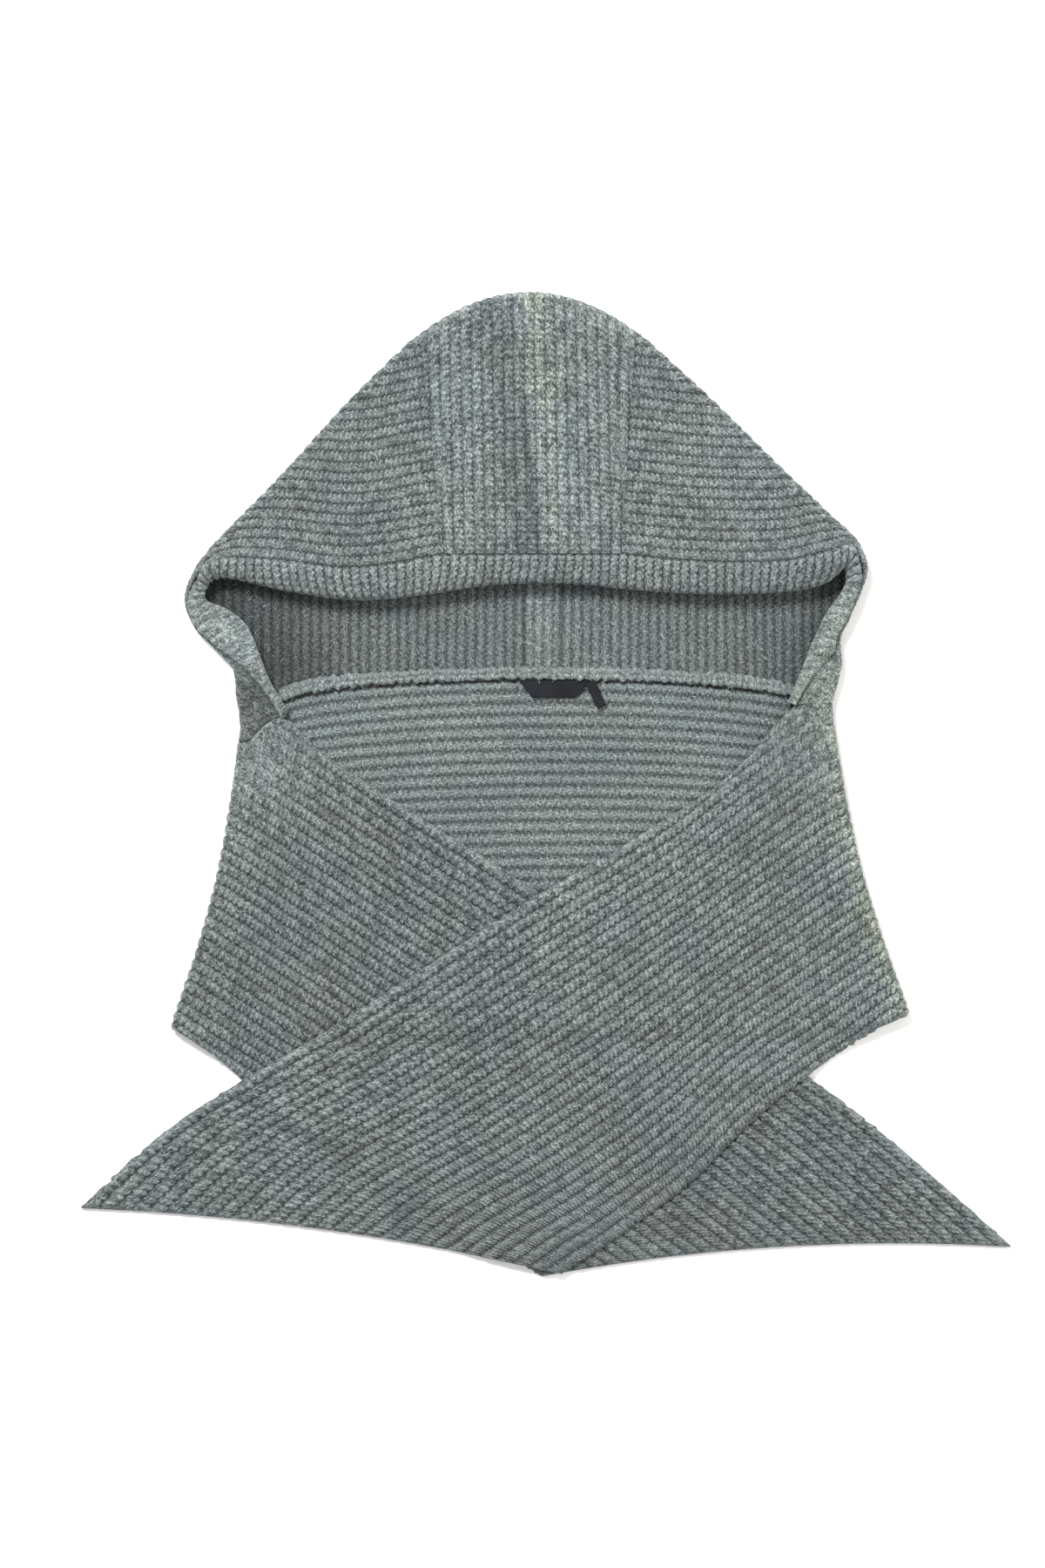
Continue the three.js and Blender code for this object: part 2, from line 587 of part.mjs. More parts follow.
// Neck seam: the rolled seam allowance that stands up inside, just above the seam line.
function neckAllowance() {
  const STEPS = 26;
  const from = 2 + 0.185;
  const to = 2 + 0.79;
  const WAVE = 0.05;
  const top = WALL + RIB_HEIGHT + LAYER_GAP;
  const corners = [];
  const triangles = [];
  const SECTION = [
    [0, 0],
    [1, 0],
    [1.05, 0.45],
    [0.75, 0.95],
    [0.5, 0.8],
    [0.25, 1],
    [-0.03, 0.5],
  ];
  for (let k = 0; k <= STEPS; k += 1) {
    const point = scarf(mix(from, to, k / STEPS), 0);
    const wave = 1 + WAVE * Math.sin(k * 2.1);
    for (const [across, up] of SECTION) {
      const y = point.y + ALLOWANCE_LEAD + across * ALLOWANCE_WIDTH * wave;
      corners.push(point.x, y, top + up * ALLOWANCE_HEIGHT * wave);
    }
  }
  const count = SECTION.length;
  for (let k = 0; k < STEPS; k += 1) {
    for (let i = 0; i < count; i += 1) {
      const a = k * count + i;
      const b = k * count + ((i + 1) % count);
      triangles.push(a, b, b + count, a, b + count, a + count);
    }
  }
  for (let i = 1; i + 1 < count; i += 1) {
    triangles.push(0, i + 1, i);
    const end = STEPS * count;
    triangles.push(end, end + i, end + i + 1);
  }
  const geometry = new THREE.BufferGeometry();
  geometry.setAttribute("position", new THREE.Float32BufferAttribute(corners, 3));
  geometry.setIndex(signedVolume(corners, triangles) < 0 ? reversedFaces(triangles) : triangles);
  return geometry;
}

// Labels: thin woven plates that hang from the neck seam over the back panel.
function labelPlate(width, height, thickness, cornerCut) {
  const shape = new THREE.Shape();
  shape.moveTo(-width / 2, 0);
  shape.lineTo(width / 2, 0);
  shape.lineTo(width / 2 - cornerCut, -height);
  shape.lineTo(-width / 2 + cornerCut, -height);
  shape.closePath();
  return new THREE.ExtrudeGeometry(shape, { depth: thickness, bevelEnabled: false });
}

const heather = (name, color) => {
  const material = new THREE.MeshStandardMaterial({ color, roughness: 0.95, metalness: 0, flatShading: true });
  material.name = name;
  return material;
};
const knitColour = "#8c9694";
const bandColour = "#87918f";
const labelColour = "#3b3f49";

const garment = new THREE.Group();
function addPiece(name, geometry, color) {
  const mesh = new THREE.Mesh(geometry, heather(name, color));
  mesh.name = name;
  garment.add(mesh);
  return mesh;
}

addPiece("scarf", knitWall(scarf, scarfStations(), { turned: true, trimEnds: false, trimSides: true }), knitColour);
addPiece("hood_side_left", sidePanel(SIDES.left), knitColour);
addPiece("hood_side_right", sidePanel(SIDES.right), knitColour);
addPiece("hood_centre", crownStripWall(), knitColour);
addPiece("face_band", bandWall(), bandColour);
addPiece("neck_seam", neckAllowance(), bandColour);

const labelTop = WALL + RIB_HEIGHT + LAYER_GAP;
const napeMiddle = between(SIDES.left.napePoint, SIDES.right.napePoint, 0.5);
const label = addPiece(
  "brand_label",
  labelPlate(LABEL_WIDTH, LABEL_HEIGHT, LABEL_THICKNESS, 0.1 * LABEL_WIDTH),
  labelColour,
);
label.position.set(napeMiddle.x + LABEL_OFFSET, napeMiddle.y, labelTop);
const tab = addPiece("size_tab", labelPlate(TAB_WIDTH, TAB_LENGTH, LABEL_THICKNESS, 0.5), labelColour);
tab.position.set(
  label.position.x + LABEL_WIDTH / 2 + TAB_GAP,
  napeMiddle.y - TAB_DROP,
  labelTop + LABEL_THICKNESS + LAYER_GAP,
);
tab.rotation.z = THREE.MathUtils.degToRad(TAB_TILT);

// The part's origin is the middle of its underside.
const part = new THREE.Group();
part.add(garment);
garment.updateMatrixWorld(true);
const box = new THREE.Box3().setFromObject(garment, true);
const middle = box.getCenter(vector(0, 0, 0));
garment.position.set(-middle.x, -middle.y, -box.min.z);

export default part;
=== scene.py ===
import functools
import json
import math

import bmesh
import bpy
import numpy as np
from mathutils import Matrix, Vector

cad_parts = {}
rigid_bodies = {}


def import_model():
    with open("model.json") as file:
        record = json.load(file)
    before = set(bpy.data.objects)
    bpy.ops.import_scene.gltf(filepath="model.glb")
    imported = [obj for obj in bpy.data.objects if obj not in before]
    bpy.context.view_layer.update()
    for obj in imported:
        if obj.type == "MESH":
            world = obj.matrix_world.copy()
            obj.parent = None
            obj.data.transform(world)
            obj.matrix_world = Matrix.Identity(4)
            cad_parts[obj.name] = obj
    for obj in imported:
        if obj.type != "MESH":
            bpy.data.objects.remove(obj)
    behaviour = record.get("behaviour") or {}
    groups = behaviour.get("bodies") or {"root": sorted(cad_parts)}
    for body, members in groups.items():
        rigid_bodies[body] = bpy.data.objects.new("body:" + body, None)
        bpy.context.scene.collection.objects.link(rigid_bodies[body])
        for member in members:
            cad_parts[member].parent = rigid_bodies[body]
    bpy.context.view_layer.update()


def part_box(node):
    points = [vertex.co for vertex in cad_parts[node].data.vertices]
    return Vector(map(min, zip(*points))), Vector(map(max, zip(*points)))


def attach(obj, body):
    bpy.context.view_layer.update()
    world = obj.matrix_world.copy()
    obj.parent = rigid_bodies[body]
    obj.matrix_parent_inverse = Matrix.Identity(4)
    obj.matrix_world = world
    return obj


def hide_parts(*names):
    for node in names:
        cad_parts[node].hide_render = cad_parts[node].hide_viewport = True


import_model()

# Scarf
#
# One long strip of heavy rib knit in grey heather wool. Its middle lies flat as the back panel, it turns
# forward over each shoulder in a soft fold, and the two tails cross below the neck. The hood is sewn to its
# inner edge.

# Lengths are in millimetres in the garment's own frame; mesh_object moves and scales them into the model's.
MM = 0.001
HEM_WIDTH = 541.5
FRONT_DROP = 438
SCARF_RIBS = 29
RIB_PITCH = 7.8
RIB_HEIGHT = 1.2
COURSE_PITCH = 4.3
WALL = 3
LAYER_GAP = 0.5
LAYER = WALL + RIB_HEIGHT + LAYER_GAP
FLOOR_MID = WALL / 2
FOLD_RADIUS = 4.5
FOLD_REACH = 40
FOLD_PINCH = 9
DRAPE_EASE = 20
TAIL_LENGTH = 520
FOLD_FADE = 150
STRAIGHT_FROM = 0.42
STRAIGHT_PROBE = 0.08
EDGE_BUMP = 1.2
EDGE_SOFT = 2.5
BACK_CUT = 1 / 6
STEP = 1.5
REACH = 1e-3

LIGHT_WOOL = (0.54, 0.60, 0.58)
MID_WOOL = (0.222, 0.258, 0.258)
DARK_WOOL = (0.045, 0.056, 0.058)
COOL_WOOL = (0.98, 1.0, 1.045)
WARM_WOOL = (1.01, 1.005, 0.975)
SUNLIT_WOOL = (1.06, 1.045, 0.92)
WOOL_SHEEN = (0.9, 0.95, 0.93, 1.0)
PALE_FIBRE = (0.36, 0.40, 0.39)
DARK_FIBRE = (0.07, 0.085, 0.085)
PATCH = 0.08

# Columns: neck edge x and y, hem x and y, bow. x is a share of half the hem's width, y and bow are shares of
# the front drop. Rows run from the shoulder fold to the tail's end, on the back from right fold to left fold.
OVER_TAIL = [
    (0.801, 0.059, 1.007, 0.556, 0.01),
    (0.697, 0.03, 0.914, 0.58, 0.01),
    (0.508, 0.151, 0.742, 0.652, 0.005),
    (0.239, 0.26, 0.571, 0.738, 0),
    (-0.097, 0.383, 0.409, 0.837, 0),
    (-0.549, 0.564, 0.236, 0.918, 0.005),
    (-1.005, 0.738, 0.126, 0.964, 0.015),
    (-1.272, 0.884, 0.049, 0.995, 0.02),
]
UNDER_TAIL = [
    (-0.837, 0.089, -1.022, 0.579, 0.01),
    (-0.719, 0.049, -0.921, 0.616, 0.01),
    (-0.597, 0.114, -0.791, 0.678, 0.005),
    (-0.366, 0.208, -0.623, 0.745, 0),
    (-0.013, 0.347, -0.455, 0.81, 0),
    (0.433, 0.537, -0.287, 0.881, 0.005),
    (0.863, 0.72, -0.143, 0.944, 0.015),
    (1.293, 0.95, -0.001, 1.0, 0.025),
]
BACK_PANEL = [
    OVER_TAIL[0],
    (0.683, 0.014, 0.794, 0.561, 0),
    (0.385, -0.009, 0.433, 0.562, 0),
    (-0.023, -0.015, 0.001, 0.564, 0),
    (-0.431, -0.006, -0.455, 0.567, 0),
    (-0.707, 0.019, -0.815, 0.573, 0),
    UNDER_TAIL[0],
]


def mix(a, b, share):
    return a + (b - a) * share


def smooth(share):
    share = np.clip(share, 0.0, 1.0)
    return share * share * (3 - 2 * share)


def length_of(vectors):
    return np.sqrt((vectors**2).sum(-1))


def unit(vectors):
    return vectors / np.maximum(length_of(vectors), 1e-9)[..., None]


def point(x, y, z):
    return np.stack(np.broadcast_arrays(x, y, z), -1).astype(float)


def along(rows, share):
    """A smooth curve through the rows of a table: share 0 is the first row, 1 the last."""
    rows = np.asarray(rows, float)
    last = len(rows) - 1
    place = np.clip(share, 0, 1) * last
    i = np.minimum(np.floor(place).astype(int), last - 1)
    f = (place - i)[..., None]
    a, b, c, d = (rows[np.clip(i + k, 0, last)] for k in (-1, 0, 1, 2))
    return (
        b
        + 0.5 * f * (c - a)
        + 0.5 * f * f * (2 * a - 5 * b + 4 * c - d)
        + 0.5 * f**3 * (3 * b - a - 3 * c + d)
    )


def ripple(a, b, seed):
    """Slow waves from -1 to 1 over two coordinates, the same for each run."""
    waves = np.random.default_rng(seed).uniform(-1, 1, (5, 3))
    total = sum(np.sin(p * a + q * b + 3.1 * r) for p, q, r in waves)
    return total / 3


def grid_faces(rows, columns, first=0):
    i, j = np.meshgrid(np.arange(rows - 1), np.arange(columns - 1), indexing="ij")
    a = (first + i * columns + j).ravel()
    return np.stack([a, a + 1, a + columns + 1, a + columns], 1).tolist()


def zipped(line_a, share_a, line_b, share_b):
    """Triangles between two lines of vertices, each in the order of its shares."""
    faces = []
    i = j = 0
    while i < len(line_a) - 1 or j < len(line_b) - 1:
        step_a = share_a[i + 1] if i < len(line_a) - 1 else math.inf
        step_b = share_b[j + 1] if j < len(line_b) - 1 else math.inf
        if step_a <= step_b:
            faces.append((line_a[i], line_b[j], line_a[i + 1]))
            i += 1
        else:
            faces.append((line_a[i], line_b[j], line_b[j + 1]))
            j += 1
    return faces


def mesh_object(name, corners, faces, attributes=None):
    """A mesh object in the model's frame from corners in millimetres; attributes are vectors per corner."""
    mesh = bpy.data.meshes.new(name)
    placed = (np.asarray(corners, float) + GARMENT_SHIFT) * MM
    mesh.from_pydata(placed.tolist(), [], [tuple(int(c) for c in f) for f in faces])
    for key, values in (attributes or {}).items():
        layer = mesh.attributes.new(key, "FLOAT_VECTOR", "POINT")
        layer.data.foreach_set("vector", np.asarray(values, np.float32).ravel())
    shell = bmesh.new()
    shell.from_mesh(mesh)
    bmesh.ops.recalc_face_normals(shell, faces=shell.faces)
    shell.to_mesh(mesh)
    shell.free()
    mesh.polygons.foreach_set("use_smooth", [True] * len(mesh.polygons))
    made = bpy.data.objects.new(name, mesh)
    bpy.context.scene.collection.objects.link(made)
    return made


def facing(surface, u, v, turned):
    """Smoothed normals of a surface at a grid of places."""
    run_u = surface(u + REACH, v) - surface(u - REACH, v)
    run_v = surface(u, v + REACH) - surface(u, v - REACH)
    normal = unit(np.cross(run_u, run_v)) * (-1 if turned else 1)
    for _ in range(2):
        for axis in (0, 1):
            padded = np.concatenate([normal.take([0], axis), normal, normal.take([-1], axis)], axis)
            size = normal.shape[axis]
            parts = [padded.take(range(k, k + size), axis) for k in range(3)]
            normal = unit(parts[0] + 2 * parts[1] + parts[2])
    return normal


def even_look(u, v, side):
    """How felted, how pale and how brushed the knit is at a place: here none of the three."""
    return point(0.0 * u, 0.0, 0.0)


def knit_shell(
    name, surface, coordinates, outer, inner, turned=False, half=None, soft=None, look=even_look
):
    """Closed wall of knit round a mid surface. outer and inner are each (places along, places across, how far
    the relief shows); coordinates gives the rib and course numbers at a place, for the outer and the inner
    face, soft how full the wall is, and look how felted, how pale and how brushed the knit is there. The pale
    share mostly carries painted light and shade."""
    parts, grids, faces = [], [], []
    first = 0
    for side, (us, vs, gain) in ((1, outer), (-1, inner)):
        u = np.asarray(us, float)[:, None] + 0 * np.asarray(vs, float)[None, :]
        v = np.asarray(vs, float)[None, :] + 0 * u
        middle = surface(u, v)
        normal = facing(surface, u, v, turned)
        thick = WALL / 2 if half is None else half(u, v)
        if soft is not None:
            thick = thick * soft(u, v)
        corners = middle + side * normal * (thick + 0 * u)[..., None]
        corners[..., 2] = np.maximum(corners[..., 2], 0)
        shown = gain(u, v) if callable(gain) else gain + 0 * u
        ribs, courses = coordinates[0 if side > 0 else 1](u, v)
        seen = look(u, v, side)
        shown = shown * (1 - 0.75 * seen[..., 0])
        parts.append(
            {
                "corners": corners.reshape(-1, 3),
                "lift": (side * normal * shown[..., None]).reshape(-1, 3),
                "knit": point(ribs, courses, seen[..., 2] if side > 0 else 1.0).reshape(-1, 3),
                "look": seen.reshape(-1, 3),
            }
        )
        grids.append((first + np.arange(u.size).reshape(u.shape), us, vs))
        faces += grid_faces(*u.shape, first)
        first += u.size
    (top, top_us, top_vs), (base, base_us, base_vs) = grids
    for end in (0, -1):
        faces += zipped(top[end], top_vs, base[end], base_vs)
        faces += zipped(top[:, end], top_us, base[:, end], base_us)
    joined = {key: np.concatenate([part[key] for part in parts]) for key in parts[0]}
    return mesh_object(name, joined.pop("corners"), faces, joined)


class Tree:
    """Short ways to write the nodes of a shader or geometry tree."""

    def __init__(self, tree):
        self.tree = tree

    def add(self, kind, inputs=(), **settings):
        node = self.tree.nodes.new(kind)
        for key, value in settings.items():
            setattr(node, key, value)
        for key, value in dict(inputs).items():
            self.feed(node.inputs[key], value)
        return node

    def feed(self, socket, value):
        if isinstance(value, bpy.types.NodeSocket):
            self.tree.links.new(value, socket)
        else:
            socket.default_value = value

    def math(self, operation, *values):
        node = self.add("ShaderNodeMath", operation=operation)
        for socket, value in zip(node.inputs, values):
            self.feed(socket, value)
        return node.outputs[0]

    def times(self, *values):
        return functools.reduce(lambda a, b: self.math("MULTIPLY", a, b), values)

    def plus(self, *values):
        return functools.reduce(lambda a, b: self.math("ADD", a, b), values)

    def between(self, value, low, high, out_low=0.0, out_high=1.0):
        """A smooth step of value from low to high, mapped to out_low to out_high."""
        node = self.add("ShaderNodeMapRange", interpolation_type="SMOOTHSTEP")
        for socket, v in zip(node.inputs, (value, low, high, out_low, out_high)):
            self.feed(socket, v)
        return node.outputs[0]

    def vector(self, x, y, z):
        return self.add("ShaderNodeCombineXYZ", {"X": x, "Y": y, "Z": z}).outputs[0]

    def noise(self, where, scale, detail=2.0, roughness=0.5):
        inputs = {"Vector": where, "Scale": scale, "Detail": detail, "Roughness": roughness}
        return self.add("ShaderNodeTexNoise", inputs).outputs[0]

    def colour(self, share, a, b, blend="MIX"):
        node = self.add("ShaderNodeMix", data_type="RGBA", blend_type=blend)
        for socket, value in ((node.inputs[0], share), (node.inputs[6], a), (node.inputs[7], b)):
            if isinstance(value, tuple):
                value = (*value, 1.0)
            self.feed(socket, value)
        return node.outputs[2]


def new_material(name):
    material = bpy.data.materials.new(name)
    material.use_nodes = True
    tree = Tree(material.node_tree)
    return material, tree, material.node_tree.nodes["Principled BSDF"].inputs


def geometry_tree(name, inputs):
    group = bpy.data.node_groups.new(name, "GeometryNodeTree")
    group.interface.new_socket("Geometry", in_out="INPUT", socket_type="NodeSocketGeometry")
    for key, value in inputs.items():
        kind = "NodeSocketInt" if isinstance(value, int) else "NodeSocketFloat"
        group.interface.new_socket(key, in_out="INPUT", socket_type=kind).default_value = value
    group.interface.new_socket("Material", in_out="INPUT", socket_type="NodeSocketMaterial")
    group.interface.new_socket("Geometry", in_out="OUTPUT", socket_type="NodeSocketGeometry")
    tree = Tree(group)
    return tree, tree.add("NodeGroupInput").outputs, tree.add("NodeGroupOutput").inputs[0]


def apply_tree(piece, tree, **values):
    """Runs a geometry tree on a piece and keeps its result as the piece's plain mesh."""
    modifier = piece.modifiers.new("detail", "NODES")
    modifier.node_group = tree.tree
    for item in tree.tree.interface.items_tree:
        key = item.name.replace(" ", "_").lower()
        if item.in_out == "INPUT" and key in values:
            modifier[item.identifier] = values[key]
    graph = bpy.context.evaluated_depsgraph_get()
    made = bpy.data.meshes.new_from_object(piece.evaluated_get(graph))
    piece.modifiers.remove(modifier)
    piece.data = made
    return piece


def end_tree(tree, given, result, geometry):
    """Real geometry that doesn't sink into the surface that the garment lies on, in its material."""
    real = tree.add("GeometryNodeRealizeInstances", {"Geometry": geometry}).outputs[0]
    x, y, z = tree.add("ShaderNodeSeparateXYZ", {0: tree.add("GeometryNodeInputPosition").outputs[0]}).outputs
    lifted = tree.vector(x, y, tree.math("MAXIMUM", z, 0.0))
    kept = tree.add("GeometryNodeSetPosition", {"Geometry": real, "Position": lifted}).outputs[0]
    dressed = tree.add("GeometryNodeSetMaterial", {"Geometry": kept, "Material": given["Material"]})
    tree.feed(result, dressed.outputs[0])


def knit_relief():
    """Ribs with a furrow between them, each a chain of plump stitches, raised along the lift attribute."""
    tree, given, result = geometry_tree(
        "knit relief",
        {"Rib Height": 1.2, "Stitch Height": 0.5, "Fullness": 3.0, "Inside Height": 0.7},
    )

    def attribute(name):
        node = tree.add("GeometryNodeInputNamedAttribute", data_type="FLOAT_VECTOR")
        node.inputs[0].default_value = name
        return node.outputs[0]

    ribs, courses, inside = tree.add("ShaderNodeSeparateXYZ", {0: attribute("knit")}).outputs
    side_step = tree.times(tree.math("SINE", tree.times(courses, math.tau)), 0.05)
    across = tree.math("FRACT", tree.plus(ribs, side_step))
    off = tree.math("ABSOLUTE", tree.math("SUBTRACT", tree.times(across, 2.0), 1.0))
    rib = tree.math("SUBTRACT", 1.0, tree.math("POWER", off, given["Fullness"]))
    leaning = tree.plus(courses, tree.times(off, 0.3))
    wave = tree.math("COSINE", tree.times(leaning, math.tau))
    stitch = tree.math("POWER", tree.math("MULTIPLY_ADD", wave, 0.5, 0.5), 0.7)
    uneven = tree.noise(tree.vector(ribs, tree.times(courses, 0.5), 0.0), 0.6, 2.0)
    plump = tree.math("MULTIPLY_ADD", uneven, 0.7, 0.65)
    outside = tree.math("SUBTRACT", 1.0, inside)
    ribbed = tree.times(given["Rib Height"], outside)
    brushed = tree.times(given["Inside Height"], inside)
    stitched = tree.times(stitch, given["Stitch Height"], outside)
    raised = tree.times(tree.plus(ribbed, brushed, stitched), rib, plump, MM)
    scaled = tree.add("ShaderNodeVectorMath", {0: attribute("lift"), 3: raised}, operation="SCALE")
    moved = tree.add("GeometryNodeSetPosition", {"Geometry": given["Geometry"], "Offset": scaled.outputs[0]})
    end_tree(tree, given, result, moved.outputs[0])
    return tree


def knit_material(name, furrow=0.18, stitch=0.34, brightness=1.0, seed=0.0):
    """Felted heather yarn: flecks of pale and dark fibre, slow patches, and painted shade in the furrows
    between ribs and between stitches, which furrow and stitch set. The inner face is brushed: its painted
    furrow shade is wider and blurred, and its fibres lie along the ribs. The look's pale share adds painted
    light and shade on top."""
    material, tree, surface = new_material(name)
    knit = tree.add("ShaderNodeAttribute", attribute_name="knit").outputs["Vector"]
    ribs, courses, inside = tree.add("ShaderNodeSeparateXYZ", {0: knit}).outputs
    place = tree.add("ShaderNodeTexCoord").outputs["Object"]
    outside = tree.math("SUBTRACT", 1.0, inside)
    across_mm = tree.times(ribs, RIB_PITCH)
    along_mm = tree.times(courses, COURSE_PITCH)
    yarn = tree.vector(across_mm, along_mm, seed)
    brushed = tree.vector(across_mm, tree.times(along_mm, 0.3), seed)

    frayed = tree.noise(yarn, 0.55, 2.0, 0.6)
    shift = tree.math("MULTIPLY_ADD", frayed, 0.22, -0.11)
    wiggle = tree.times(tree.math("SINE", tree.times(courses, math.tau)), 0.09)
    column = tree.plus(ribs, wiggle, shift)
    off = tree.math("ABSOLUTE", tree.math("MULTIPLY_ADD", tree.math("FRACT", column), 2.0, -1.0))
    # Painted shade in the furrows between ribs: sharp on the outer face, wide and blurred on the inner one.
    crisp = tree.times(tree.between(off, 0.6, 0.97), outside)
    blurred = tree.times(tree.between(off, 0.25, 0.95), 0.85, inside)
    broken = tree.between(tree.noise(yarn, 0.3, 2.0, 0.6), 0.3, 0.58, 0.55, 1.0)
    look = tree.add("ShaderNodeAttribute", attribute_name="look").outputs["Vector"]
    felted, pale, _ = tree.add("ShaderNodeSeparateXYZ", {0: look}).outputs
    open_knit = tree.math("SUBTRACT", 1.0, felted)
    in_furrow = tree.times(tree.plus(crisp, blurred), broken, open_knit)
    leaning = tree.plus(courses, tree.times(off, 0.32), shift)
    wave = tree.math("COSINE", tree.times(leaning, math.tau))
    unfelted = tree.math("MULTIPLY_ADD", felted, -0.7, 1.0)
    # Painted shade between the stitches of each rib, weaker where the knit is felted.
    between_stitches = tree.times(tree.between(wave, 0.2, -1.0), outside, unfelted)

    half_rib = tree.math("FLOOR", tree.times(column, 2.0))
    cell = tree.vector(half_rib, tree.math("FLOOR", leaning), seed)
    loop = tree.add("ShaderNodeTexWhiteNoise", {"Vector": cell}).outputs["Value"]
    loops = tree.math("MULTIPLY_ADD", tree.math("SUBTRACT", loop, 0.5), outside, 0.5)
    flecks = tree.times(tree.noise(yarn, 0.78, 2.0, 0.7), 0.46)
    strands = tree.times(tree.noise(brushed, 1.05, 2.0, 0.7), 0.36)
    clumps = tree.times(tree.noise(yarn, 0.16, 2.0, 0.6), 0.08)
    tone = tree.plus(flecks, strands, clumps, tree.times(loops, 0.08))
    dim = tree.between(tone, 0.495, 0.385)
    bright = tree.between(tone, 0.485, 0.595)
    wool = tree.colour(dim, MID_WOOL, DARK_WOOL)
    wool = tree.colour(bright, wool, LIGHT_WOOL)

    slow = tree.noise(place, 13.0, 2.0, 0.5)
    hue = tree.colour(tree.between(tree.noise(place, 16.0, 1.0), 0.38, 0.62), COOL_WOOL, WARM_WOOL)
    wool = tree.colour(1.0, wool, hue, "MULTIPLY")
    # Painted warm light where the look is pale.
    sunlit = tree.colour(tree.between(pale, 0.2, 1.0), (1.0, 1.0, 1.0), SUNLIT_WOOL)
    wool = tree.colour(1.0, wool, sunlit, "MULTIPLY")
    # Slow patches of tone, the painted furrow and stitch shade, and the look's painted light and shade.
    shade = tree.times(
        tree.between(slow, 0.3, 0.7, brightness * (1.0 - PATCH), brightness * (1.0 + PATCH)),
        tree.math("MULTIPLY_ADD", in_furrow, furrow - 1.0, 1.0),
        tree.math("MULTIPLY_ADD", between_stitches, -stitch, 1.0),
        tree.math("MULTIPLY_ADD", pale, 0.35, 1.0),
    )
    wool = tree.colour(1.0, wool, tree.vector(shade, shade, shade), "MULTIPLY")
    tree.feed(surface["Base Color"], wool)
    surface["Roughness"].default_value = 0.95
    surface["Specular IOR Level"].default_value = 0.1
    surface["Sheen Weight"].default_value = 0.19
    surface["Sheen Roughness"].default_value = 0.6
    surface["Sheen Tint"].default_value = WOOL_SHEEN

    height = tree.plus(
        tree.times(tone, 1.6), tree.times(between_stitches, -0.5), tree.times(in_furrow, -0.6)
    )
    bump = tree.add("ShaderNodeBump", {"Strength": 0.8, "Distance": 0.0012, "Height": height})
    tree.feed(surface["Normal"], bump.outputs[0])
    return material


def fuzz_tree():
    """Fine loose fibres that stand and lie on the knit's shown face, each a narrow bent ribbon."""
    tree, given, result = geometry_tree(
        "loose fibres", {"Density": 30000.0, "Fibre Length": 0.006, "Fibre Width": 0.0002, "Seed": 1}
    )
    lift = tree.add("GeometryNodeInputNamedAttribute", data_type="FLOAT_VECTOR")
    lift.inputs[0].default_value = "lift"
    shown = tree.add("ShaderNodeVectorMath", {0: lift.outputs[0]}, operation="LENGTH").outputs["Value"]
    selection = tree.math("GREATER_THAN", shown, 0.4)
    scatter = tree.add(
        "GeometryNodeDistributePointsOnFaces",
        {
            "Mesh": given["Geometry"],
            "Density": given["Density"],
            "Seed": given["Seed"],
            "Selection": selection,
        },
    )
    fibre_length = given["Fibre Length"]
    strip = tree.add(
        "GeometryNodeMeshGrid",
        {"Size X": given["Fibre Width"], "Size Y": fibre_length, "Vertices X": 2, "Vertices Y": 3},
    )
    where = tree.add("GeometryNodeInputPosition").outputs[0]
    x, y, z = tree.add("ShaderNodeSeparateXYZ", {0: where}).outputs
    share = tree.math("DIVIDE", y, fibre_length)
    bow = tree.times(share, share, tree.times(fibre_length, -0.9))
    bent = tree.add(
        "GeometryNodeSetPosition",
        {"Geometry": strip.outputs["Mesh"], "Offset": tree.vector(0.0, 0.0, bow)},
    )
    turn = tree.add("FunctionNodeRandomValue", data_type="FLOAT_VECTOR")
    turn.inputs[0].default_value = (-0.7, -0.7, -math.pi)
    turn.inputs[1].default_value = (0.7, 0.7, math.pi)
    local = tree.add("FunctionNodeEulerToRotation", {0: turn.outputs[0]})
    pose = tree.add("FunctionNodeRotateRotation", rotation_space="LOCAL")
    tree.feed(pose.inputs[0], scatter.outputs["Rotation"])
    tree.feed(pose.inputs[1], local.outputs[0])
    size = tree.add("FunctionNodeRandomValue", data_type="FLOAT")
    size.inputs[2].default_value = 0.4
    size.inputs[3].default_value = 1.2
    placed = tree.add(
        "GeometryNodeInstanceOnPoints",
        {
            "Points": scatter.outputs["Points"],
            "Instance": bent.outputs[0],
            "Rotation": pose.outputs[0],
            "Scale": size.outputs[1],
        },
    )
    tone = tree.add("FunctionNodeRandomValue", data_type="FLOAT")
    noted = tree.add("GeometryNodeStoreNamedAttribute", domain="INSTANCE", data_type="FLOAT")
    tree.feed(noted.inputs["Geometry"], placed.outputs[0])
    noted.inputs["Name"].default_value = "tone"
    tree.feed(noted.inputs["Value"], tone.outputs[1])
    end_tree(tree, given, result, noted.outputs[0])
    return tree


def fibre_material():
    material, tree, surface = new_material("loose_fibre")
    tone = tree.add("ShaderNodeAttribute", attribute_name="tone").outputs["Fac"]
    shade = tree.colour(tree.between(tone, 0.1, 1.0), DARK_FIBRE, PALE_FIBRE)
    tree.feed(surface["Base Color"], shade)
    surface["Roughness"].default_value = 0.8
    surface["Sheen Weight"].default_value = 0.3
    return material


RELIEF = knit_relief()
FUZZ = fuzz_tree()
FIBRE = fibre_material()


def fuzz_on(piece, density):
    """A piece of its own with the loose fibres on a piece's shown face."""
    fibres = bpy.data.objects.new("fuzz_" + piece.name, piece.data.copy())
    bpy.context.scene.collection.objects.link(fibres)
    apply_tree(fibres, FUZZ, material=FIBRE, density=density, seed=len(bpy.data.objects))
    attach(fibres, "root")
    return fibres


def finish_piece(piece, slot, *nodes):
    """The garment is one body, so every piece rides the same one."""
    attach(piece, "root")
    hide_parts(*nodes)
    return piece


